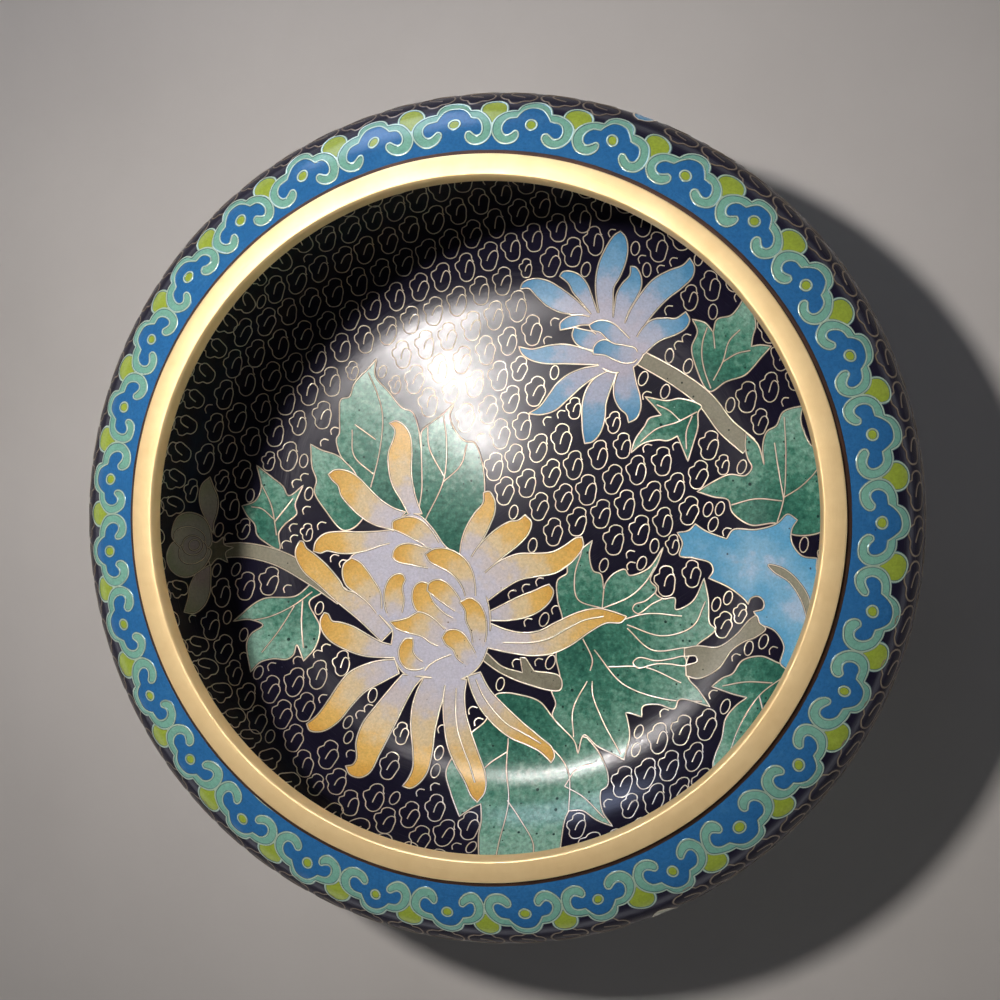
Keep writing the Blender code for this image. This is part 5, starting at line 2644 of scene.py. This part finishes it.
@dataclass(frozen=True)
class HeadBorder:
    """A ring of scrolled heads on blue, with a lime lobe behind each place where two of them meet.

    Attributes:
        heads: How many heads there are.
        turn: The direction of the first head, in radians.
        wander: How unevenly the heads are spaced and drawn, in radians.
        start: The plan radius at the mouth band.
        gauge: The radius at which widths along the border are measured.
        outer_edge: Half the outer edge of a head's band, from its crown to the end of its scroll.
        inner_edge: The band's inner edge, from the scroll back to the crown.
        inside_edge: Half the edge of the blue that the band closes round, from its crown.
        field_span: How far out the blue field starts and ends.
        lobe_foot: How far out the point of a lime lobe is.
        lobe_out: How far out the lobe's middle is.
        lobe_radius: The lobe's radius.
        lobe_turns: The directions of its first point and of the step to the next, in radians.
        lobe_points: How many points it is drawn with.
        dot_out: How far out the middle of a lime dot is.
        dot_radius: The dot's radius.
    """

    heads: int = 31
    turn: float = math.radians(7.8)
    wander: float = 0.0105
    start: float = 82.5
    gauge: float = 90.0
    outer_edge: tuple[tuple, ...] = (
        (0, 13.75), (1.5, 13.4), (2.8, 12.3), (3.5, 10.7, SHARP), (5.2, 10.6), (7.0, 9.8), (8.4, 8.4),
        (9.05, 6.6), (8.75, 4.6), (7.4, 3.0), (5.4, 2.5), (3.7, 3.0), (2.75, 4.2), (2.9, 5.3), (3.7, 5.6),
    )
    inner_edge: tuple[tuple, ...] = (
        (4.4, 5.1), (5.4, 4.6), (6.4, 4.9), (6.9, 6.0), (6.6, 7.4), (5.6, 8.5), (3.7, 8.8, SHARP),
        (3.0, 10.0), (1.6, 11.5), (0, 11.9),
    )
    inside_edge: tuple[Point, ...] = (
        (0, 12.9), (2.1, 12.1), (3.6, 9.9), (5.4, 9.6), (7.4, 8.2), (8.0, 6.3), (7.0, 4.0), (3.6, 4.2),
    )
    field_span: Point = (0.15, 7.2)
    lobe_foot: float = 7.4
    lobe_out: float = 10.75
    lobe_radius: float = 3.05
    lobe_turns: Point = (0.75, 0.23)
    lobe_points: int = 22
    dot_out: float = 7.3
    dot_radius: float = 1.25

    def pitch(self) -> float:
        """Returns the width of a head's share of the border."""
        return math.tau * self.gauge / self.heads

    def laid(self, line: Sequence[Point], shift: float) -> list[Point]:
        """Bends an outline drawn along a straight border round to the plan."""
        return [
            on_circle(self.start + out, self.turn + (along + shift) / self.gauge) for along, out in line
        ]

    def pieces(
        self, enamel: Enamel, line: Sequence[Point], shifts: Sequence[float] = (0.0,), family: str = ""
    ) -> list[Figure]:
        """Draws one figure of the border and its neighbours, which only cut it.

        Args:
            enamel: What fills it.
            line: Its outline along a straight border.
            shifts: How far along the border each one lies, 0 for the one that is shown.
            family: The family that it joins without a wire.

        Returns:
            The figures.
        """
        return [
            Figure(enamel, self.laid(line, shift), shade_evenly(0.5), family, shown=shift == 0.0)
            for shift in shifts
        ]

    def band(self) -> list[Point]:
        """Draws the outline of a head's band on both sides of its crown."""
        half = [*self.outer_edge, *self.inner_edge]
        return outline([*half, *((-x, *rest) for x, *rest in reversed(half[1:-1]))], 0.8)

    def inside(self) -> list[Point]:
        """Draws the outline of the blue that a head's band closes round."""
        return [*self.inside_edge, *((-x, y) for x, y in reversed(self.inside_edge[1:]))]

    def figures(self) -> list[Figure]:
        """Draws one head's share of the border, with its neighbours to cut it.

        Returns:
            The figures, lowest first.
        """
        pitch = self.pitch()
        sides = range(FIELD_STEPS + 1)
        near, far = self.field_span
        edge = [(-pitch / 2.0 + pitch * step / FIELD_STEPS, near) for step in sides]
        edge += [(pitch / 2.0 - pitch * step / FIELD_STEPS, far) for step in sides]
        first, step_on = self.lobe_turns
        turns = [first + step_on * step for step in range(self.lobe_points)]
        size, out = self.lobe_radius, self.lobe_out
        lobe = [(size * math.sin(turn), out - size * math.cos(turn)) for turn in turns]
        lobe = [(x + pitch / 2.0, y) for x, y in ((0.0, self.lobe_foot), *lobe)]
        shifts = (-pitch, pitch, 0.0)
        return [
            *self.pieces(Enamel.BORDER_BLUE, edge, shifts, "field"),
            *self.pieces(Enamel.BORDER_LIME, lobe, (-pitch, 0.0)),
            *self.pieces(Enamel.BORDER_BLUE, self.inside(), shifts, "field"),
            *self.pieces(Enamel.BORDER_TEAL, self.band(), shifts),
            *self.pieces(
                Enamel.BORDER_LIME, oval((0.0, self.dot_out), self.dot_radius, self.dot_radius)
            ),
        ]


# ---------------------------------------------------------------------------------------------
# The bowl, its bands and its ground
# ---------------------------------------------------------------------------------------------


def rounded(corners: Sequence[tuple[float, float, float]], steps: int = 4) -> list[Point]:
    """Rounds the corners of a closed section.

    Args:
        corners: (radius, height, rounding) in order, in metres.
        steps: How many pieces each rounding is drawn in.

    Returns:
        The section's points, with the first one repeated at the end.
    """
    points: list[Point] = []
    for index, (x, y, size) in enumerate(corners):
        if size <= 0.0:
            points.append((x, y))
            continue
        before = corners[index - 1][:2]
        after = corners[(index + 1) % len(corners)][:2]
        start = blend_points((x, y), before, size / away((x, y), before))
        end = blend_points((x, y), after, size / away((x, y), after))
        for step in range(steps + 1):
            share = step / steps
            first, second = blend_points(start, (x, y), share), blend_points((x, y), end, share)
            points.append(blend_points(first, second, share))
    return [*points, points[0]]


@dataclass
class Cachepot:
    """The whole bowl: its wall, its bands, the border, and the pictures on both faces.

    Attributes:
        shop: Makes the pieces.
        lift: How far enamel figures stand above the black ground, in metres.
        depth: How thick their slabs are.
        wire_width: The width of a wire at its base.
        wire_rise: How far a wire's ridge stands above the black ground.
        wire_dip: How far its base lies below it.
        cloud_width: The width of a wire of the clouds.
        cloud_rise: How far its ridge stands above the black ground.
    """

    shop: Workshop
    lift: float = 0.00005
    depth: float = 0.0004
    wire_width: float = 0.00046
    wire_rise: float = 0.00014
    wire_dip: float = 0.00004
    cloud_width: float = 0.00038
    cloud_rise: float = 0.00012

    @staticmethod
    def tint_evenly(piece: Object) -> None:
        """Gives a turned piece the middle tint all over."""
        tints = piece.data.attributes.new(TINT, "FLOAT", "POINT")
        tints.data.foreach_set("value", [0.5] * len(piece.data.vertices))

    def wall(self) -> None:
        """Makes the copper wall with its black enamel."""
        shell = self.shop.section.shell()
        self.tint_evenly(self.shop.turned("black_ground", shell, BODY_NODE, ENAMELS[Enamel.GROUND].slot))

    def mouth_band(self) -> None:
        """Makes the gilt band at the mouth and the dark seam outside it."""
        section = self.shop.section
        top, inner, outer = section.height, section.mouth_radius, section.band_radius
        rebate, bottom, lip = top - BAND_DROP, top - BAND_DEPTH, inner + BAND_LIP
        band = rounded(
            (
                (outer, rebate, 0.0002),
                (outer, top, 0.0004),
                (inner + 0.0003, top, 0.0002),
                (inner, top - 0.0007, 0.0004),
                (inner, bottom, 0.0002),
                (lip, bottom, 0.0002),
                (lip, rebate, 0.0),
            )
        )
        gilt = MOUTH_GILT.slot
        self.shop.turned(
            "gilt_mouth_band", band, MOUTH_NODE, gilt, segments=360, wobble=0.00006, wobble_scale=70.0
        )
        seam = self.bead((outer + 0.00045, top - section.band_proud), 0.00075, 0.00030)
        self.shop.turned("mouth_seam", seam, MOUTH_NODE, SEAM.slot, wobble=0.00008, wobble_scale=180.0)

    def foot(self) -> None:
        """Makes the gilt foot ring and the dark seam above it."""
        section = self.shop.section
        outer = section.foot_radius
        inner = outer - FOOT_WIDTH
        middle = inner + FOOT_WIDTH / 2.0
        foot = rounded(
            (
                (inner, 0.0, 0.0008),
                (outer, 0.0, 0.0008),
                (outer + 0.0003, 0.0040, 0.0008),
                (outer, section.underside_at(outer) - section.fit_gap, 0.0002),
                (middle, section.underside_at(middle) - section.fit_gap, 0.0),
                (inner, section.underside_at(inner) - section.fit_gap, 0.0002),
            )
        )
        self.shop.turned("gilt_foot_ring", foot, FOOT_NODE, FOOT_GILT.slot, wobble=0.00006, wobble_scale=80.0)
        joint = self.bead((outer, section.underside_at(outer) - 0.0001), 0.0006, 0.00035)
        self.shop.turned("foot_seam", joint, FOOT_NODE, SEAM.slot, wobble=0.00008, wobble_scale=150.0)

    @staticmethod
    def bead(centre: Point, half_width: float, half_height: float) -> list[Point]:
        """Draws a small closed bead as a ring's section."""
        line = oval(centre, half_width, half_height, 0.0, 10)
        return [*line, line[0]]

    def underside(self) -> None:
        """Makes the plain counter enamel inside the foot."""
        section = self.shop.section
        rim = section.foot_radius - UNDERSIDE_MARGIN
        radii = [rim * step / UNDERSIDE_STEPS for step in range(UNDERSIDE_STEPS + 1)]
        below = [(radius, section.underside_at(radius) - self.lift) for radius in radii]
        above = [(radius, section.underside_at(radius) + self.depth) for radius in reversed(radii)]
        self.tint_evenly(
            self.shop.turned("underside_enamel", [*below, *above], BODY_NODE, UNDERSIDE.slot, segments=160)
        )

    def picture(
        self, picture: Picture, skin: Skin, copies: int = 1, wander: float = 0.0, finish: str = WIRE.slot
    ) -> None:
        """Makes the enamel cells and the wires of a picture on one face of the bowl.

        Args:
            picture: The cut figures.
            skin: The face that it is laid on.
            copies: How many times it is repeated round the axis.
            wander: How unevenly the copies are spaced and drawn, in radians.
            finish: The material slot whose finish the wires get, or the mint wire copy that paints their
                reflection and shade.
        """
        placing = {"line": skin.line, "start": skin.start, "copies": copies, "wander": wander}
        for enamel in picture.enamels():
            slot = ENAMELS[enamel].slot
            piece = self.shop.grow(
                f"{picture.name}_{enamel.value}",
                self.shop.trees.cells,
                picture.sheet(enamel),
                slot,
                lift=self.lift,
                depth=self.depth,
                **placing,
            )
            self.shop.hand_over(piece, BODY_NODE, slot)
        wires = self.shop.grow(
            f"{picture.name}_wires",
            self.shop.trees.wires,
            picture.wirework(),
            finish,
            width=self.wire_width,
            rise=self.wire_rise,
            dip=self.wire_dip,
            **placing,
        )
        self.shop.hand_over(wires, BODY_NODE, WIRE.slot)

    def clouds(
        self, name: str, ground: CloudGround, shapes: Collection, skin: Skin, finish: str
    ) -> None:
        """Makes the wires of a ground of clouds.

        Args:
            name: The piece's name.
            ground: The clouds' places.
            shapes: The wire shapes.
            skin: The face that they are laid on.
            finish: The material slot whose finish they get, or the darker wire copy with tarnish and painted
                shade.
        """
        piece = self.shop.grow(
            name,
            self.shop.trees.clouds,
            ground.plan(),
            finish,
            shapes=shapes,
            line=skin.line,
            start=skin.start,
            width=self.cloud_width,
            rise=self.cloud_rise,
            dip=self.wire_dip,
        )
        self.shop.hand_over(piece, BODY_NODE, WIRE.slot)
        LOG.info("%s: %d clouds", name, len(ground.clouds))

    def build(self) -> None:
        """Makes every piece."""
        self.wall()
        self.mouth_band()
        self.foot()
        self.underside()
        inside, outside = self.shop.inside, self.shop.outside
        spray = Picture("inside", inside_figures())
        self.picture(spray, inside)
        border = HeadBorder()
        heads = Picture("border", border.figures(), spacing=1.5)
        # The border's wires take the mint copy, whose tint and dimness paint reflection and shade.
        self.picture(heads, outside, border.heads, border.wander, MINT_REFLECTION_WIRE)
        sprays = Picture("outside", outside_figures())
        self.picture(sprays, outside)
        shapes = CloudShapes(seed=7)
        collection = shapes.collection()
        floor = CloudGround(shapes, spray, inside.radii, start=0.0, seed=11)
        InsideGround().fill(floor)
        self.clouds("inside_clouds", floor, collection, inside, WIRE.slot)
        wall = CloudGround(shapes, sprays, outside.radii, start=outside.start / MM, seed=12)
        OutsideGround().fill(wall)
        # The outside clouds take the darker wire copy: tarnish plus painted shade.
        self.clouds("outside_clouds", wall, collection, outside, TARNISHED_SHADED_WIRE)
        for shape in list(collection.objects):
            bpy.data.objects.remove(shape, do_unlink=True)
        bpy.data.collections.remove(collection)


# ---------------------------------------------------------------------------------------------
# The sprays outside the bowl
# ---------------------------------------------------------------------------------------------


# The outside flower's height as a share of its width, and how many petals it has
FLATTENING = 0.92
OUTSIDE_PETALS = 11
OUTSIDE_PETAL = (
    (0.26, -0.5), (0.5, -0.9), (0.76, -1), (0.93, -0.5), (1, 0.35, SHARP), (0.93, 0.8), (0.72, 1),
    (0.46, 0.8), (0.26, 0.5),
)
OUTSIDE_LEAF = ((0, 0), (2.6, 2.6), (6.4, 3.4), (8.2, 7.2, SHARP), (4.6, 7.4), (3.4, 9.4, SHARP), (3.2, 12.6))
OUTSIDE_VEINS = (
    ((0, 1), (0, 8), (0, 14)),
    ((0, 4), (3.2, 5.2), (6.0, 6.4)),
    ((0, 4), (-3.2, 5.2), (-6.0, 6.4)),
)
# (base on the stem, direction, size)
OUTSIDE_LEAVES = (
    ((12, -17), 0.9, 1.0),
    ((27, -26), 1.5, 1.05),
    ((30, -36), -0.5, 0.9),
    ((40, -24), 0.35, 1.0),
    ((8, -15), -2.2, 0.9),
)


@dataclass(frozen=True)
class OutsideSpray:
    """A flower on a leafy stem on the bowl's outer face, drawn flat with its top at the mouth.

    Attributes:
        azimuth: The direction of the flower's middle, in degrees.
        along: How far the flower's middle is below the mouth band, along the skin.
        enamel: The petals' enamel.
        size: The flower's size as a share of the drawing's own.
        mirror: -1 to draw the stem to the left and 1 to draw it to the right.
        start: The plan radius at the mouth band.
    """

    azimuth: float
    along: float
    enamel: Enamel
    size: float = 1.0
    mirror: int = 1
    start: float = 82.5

    def laid(self, point: tuple) -> tuple:
        """Bends a point of the flat drawing round to the plan."""
        reach = self.start + self.along - point[1] * self.size
        turn = math.radians(self.azimuth) + self.mirror * point[0] * self.size / 100.0
        return (*on_circle(reach, turn), *point[2:])

    def bent(self, points: Iterable[tuple]) -> tuple[tuple, ...]:
        """Bends a whole outline round to the plan."""
        return tuple(self.laid(point) for point in points)

    def figures(self) -> list[Figure]:
        """Draws the spray.

        Returns:
            The figures, lowest first.
        """
        stem = Stalk(self.bent(((2, -6), (9, -16), (19, -23), (31, -26), (42, -24))), 2.6, 3.4)
        twig = Stalk(self.bent(((19, -23), (24, -31), (32, -37))), 2.2, 1.4)
        leaves = [self.leaf(*place) for place in OUTSIDE_LEAVES]
        petals = []
        for index in range(OUTSIDE_PETALS):
            turn = math.tau * (index + 0.35 * math.sin(5.0 * index)) / OUTSIDE_PETALS
            reach = 13.0 + 2.5 * math.cos(2.3 * index)
            petals.append(self.petal(turn, reach, 2.6, 0.3 * math.sin(1.7 * index + 0.6)))
        heart = self.bent(oval((0.0, 0.0), 4.6, 4.2, 0.0, 10))
        inner = [self.petal(turn, 5.2, 1.7, 0.5) for turn in (0.4, 2.3, 4.3)]
        return [*drawn(stem, twig), *leaves, *flower(petals, heart, inner, self.enamel)]

    def petal(self, turn: float, reach: float, half_width: float, bend: float) -> Petal:
        """Draws a petal of the flower, with its tip hooked to one side.

        Args:
            turn: The direction that it springs in, in radians.
            reach: How far its tip is from the flower's middle.
            half_width: Half its greatest width.
            bend: How far its tip is turned, in radians.

        Returns:
            The petal.
        """
        edge = []
        for share, side, *corner in OUTSIDE_PETAL:
            x, y = turned((reach * share, half_width * side), turn + bend * share**2)
            edge.append((x, FLATTENING * y, *corner))
        return Petal(self.bent(edge))

    def leaf(self, base: Point, lean: float, size: float) -> Figure:
        """Draws a leaf of three pointed lobes.

        Args:
            base: Where it springs from the stem.
            lean: The direction that it points in, in radians.
            size: Its size as a share of the drawing's own.

        Returns:
            The leaf.
        """
        half = OUTSIDE_LEAF
        edge = [*half, (0, 17.5, SHARP), *((-point[0], *point[1:]) for point in reversed(half[1:]))]

        def placed(point: tuple) -> tuple:
            """Returns a point of the leaf where it lies on the plan."""
            return self.laid(turned(point, lean - math.pi / 2.0, size, base))

        return Leaf(
            edge=tuple(placed(point) for point in edge),
            heart=placed((0, 0))[:2],
            reach=17.0 * size * self.size,
            veins=tuple(tuple(placed(point) for point in vein) for vein in OUTSIDE_VEINS),
        ).figure()


OUTSIDE_SPRAYS = (
    OutsideSpray(62.0, 30.0, Enamel.BLUE_PETAL, mirror=-1),
    OutsideSpray(-66.0, 32.0, Enamel.WHITE_PETAL, 1.1),
    OutsideSpray(182.0, 34.0, Enamel.GOLD_PETAL, 1.05, mirror=-1),
)


def outside_figures() -> list[Figure]:
    """Draws the sprays outside the bowl, lowest figures first."""
    return [figure for spray in OUTSIDE_SPRAYS for figure in spray.figures()]


# ---------------------------------------------------------------------------------------------
# The floor, the lights and the camera
# ---------------------------------------------------------------------------------------------


# The height that lamps point at, in metres
AIM_HEIGHT = 0.04
# The camera's sensor, in millimetres, and the nearest thing that it sees, in metres
SENSOR_WIDTH = 36.0
NEAREST = 0.01


@dataclass(frozen=True)
class Lamp:
    """A round lamp that points at the bowl.

    Attributes:
        name: Its name.
        direction: Where it stands, seen from the bowl.
        distance: How far away it is.
        size: Its diameter.
        power: Its power in watts.
        colour: Its colour.
        lights_all: False for one that shows only in reflections.
    """

    name: str
    direction: tuple[float, float, float]
    distance: float
    size: float
    power: float
    colour: Colour
    lights_all: bool = False

    def build(self) -> None:
        """Adds the lamp."""
        light = bpy.data.lights.new(self.name, "AREA")
        light.shape = "DISK"
        light.size = self.size
        light.energy = self.power
        light.color = self.colour[:3]
        lamp = bpy.data.objects.new(self.name, light)
        place = Vector(self.direction).normalized()
        lamp.location = place * self.distance + Vector((0.0, 0.0, AIM_HEIGHT))
        lamp.rotation_euler = place.to_track_quat("Z", "Y").to_euler()
        lamp.visible_diffuse = self.lights_all
        bpy.context.scene.collection.objects.link(lamp)


LAMPS = (
    Lamp("key", (-0.058, 0.065, 0.28), 0.293, 0.022, 0.78, srgb(254, 248, 246), lights_all=True),
    Lamp("ceiling", (0.0, 0.0, 1.0), 2.2, 2.6, 0.8, srgb(226, 228, 255)),
    Lamp("window", (-0.28, 0.84, 0.47), 1.5, 0.70, 19.0, srgb(204, 218, 255)),
)


@dataclass(frozen=True)
class Studio:
    """A plain pale floor, a small lamp high on one side, and soft light all round.

    Attributes:
        floor_size: The length of the floor's sides, in metres.
        lens: The camera's focal length, in millimetres.
        place: Where the camera stands, in metres.
        right: Which way is right in the picture.
        forward: Which way the camera looks.
        glow_span: The sines of the elevations between which the soft light fades.
        glow_strengths: The soft light's strengths below and above them.
        seen_strength: How bright the camera sees it.
    """

    floor_size: float = 3.0
    lens: float = 36.0
    place: tuple[float, float, float] = (0.04925, -0.00017, 0.305)
    right: tuple[float, float, float] = (0.9812, -0.0585, -0.1837)
    forward: tuple[float, float, float] = (-0.183, 0.0162, -0.983)
    glow_span: Point = (0.08, 0.22)
    glow_strengths: Point = (2.6, 0.04)
    seen_strength: float = 0.55

    def floor(self) -> None:
        """Makes the floor."""
        mesh = bpy.data.meshes.new("floor")
        half = self.floor_size / 2.0
        corners = [(-half, -half, 0.0), (half, -half, 0.0), (half, half, 0.0), (-half, half, 0.0)]
        mesh.from_pydata(corners, [], [(0, 1, 2, 3)])
        floor = bpy.data.objects.new("floor", mesh)
        bpy.context.scene.collection.objects.link(floor)
        material, sketch, shader = new_material("pale_floor")
        mottle = sketch.noise(sketch.place(), 14.0, 5.0, 0.6)
        ramp = sketch.add("ShaderNodeValToRGB", mottle.outputs["Fac"])
        for element, colour in zip(ramp.color_ramp.elements, (srgb(196, 192, 186), srgb(212, 208, 202))):
            element.color = colour
        sketch.feed(shader["Base Color"], ramp.outputs["Color"])
        shader["Roughness"].default_value = 0.75
        mesh.materials.append(material)

    def room_light(self) -> None:
        """Makes the soft light all round, strongest from low down."""
        world = bpy.data.worlds.new("soft_room")
        world.use_nodes = True
        sketch = NodeSketch(world.node_tree)
        background = world.node_tree.nodes["Background"].inputs
        background["Color"].default_value = srgb(228, 229, 235)
        direction = sketch.add("ShaderNodeTexCoord").outputs["Generated"]
        glow = sketch.eased(sketch.split(direction)[2], *self.glow_span, *self.glow_strengths)
        seen = sketch.add("ShaderNodeLightPath").outputs["Is Camera Ray"]
        strength = sketch.add("ShaderNodeMix", seen, glow, self.seen_strength, data_type="FLOAT")
        sketch.feed(background["Strength"], strength)
        bpy.context.scene.world = world

    def camera(self) -> None:
        """Adds the camera above the bowl, a little to its right."""
        data = bpy.data.cameras.new("camera")
        data.lens = self.lens
        data.sensor_width = SENSOR_WIDTH
        data.clip_start = NEAREST
        camera = bpy.data.objects.new("camera", data)
        forward = Vector(self.forward).normalized()
        up = Vector(self.right).normalized().cross(forward).normalized()
        right = forward.cross(up)
        turn = Matrix((right, up, -forward)).transposed()
        camera.matrix_world = Matrix.Translation(self.place) @ turn.to_4x4()
        bpy.context.scene.collection.objects.link(camera)
        bpy.context.scene.camera = camera

    def build(self) -> None:
        """Makes the floor, the lights and the camera."""
        self.floor()
        for lamp in LAMPS:
            lamp.build()
        self.room_light()
        self.camera()
        bpy.context.scene.view_settings.view_transform = "Standard"


def main() -> None:
    """Builds the cachepot and the studio."""
    logging.basicConfig(level=logging.INFO, format="%(name)s: %(message)s")
    shop = Workshop()
    Cachepot(shop).build()
    shop.clear()
    Studio().build()
    bpy.context.view_layer.update()


if __name__ == "__main__":
    main()
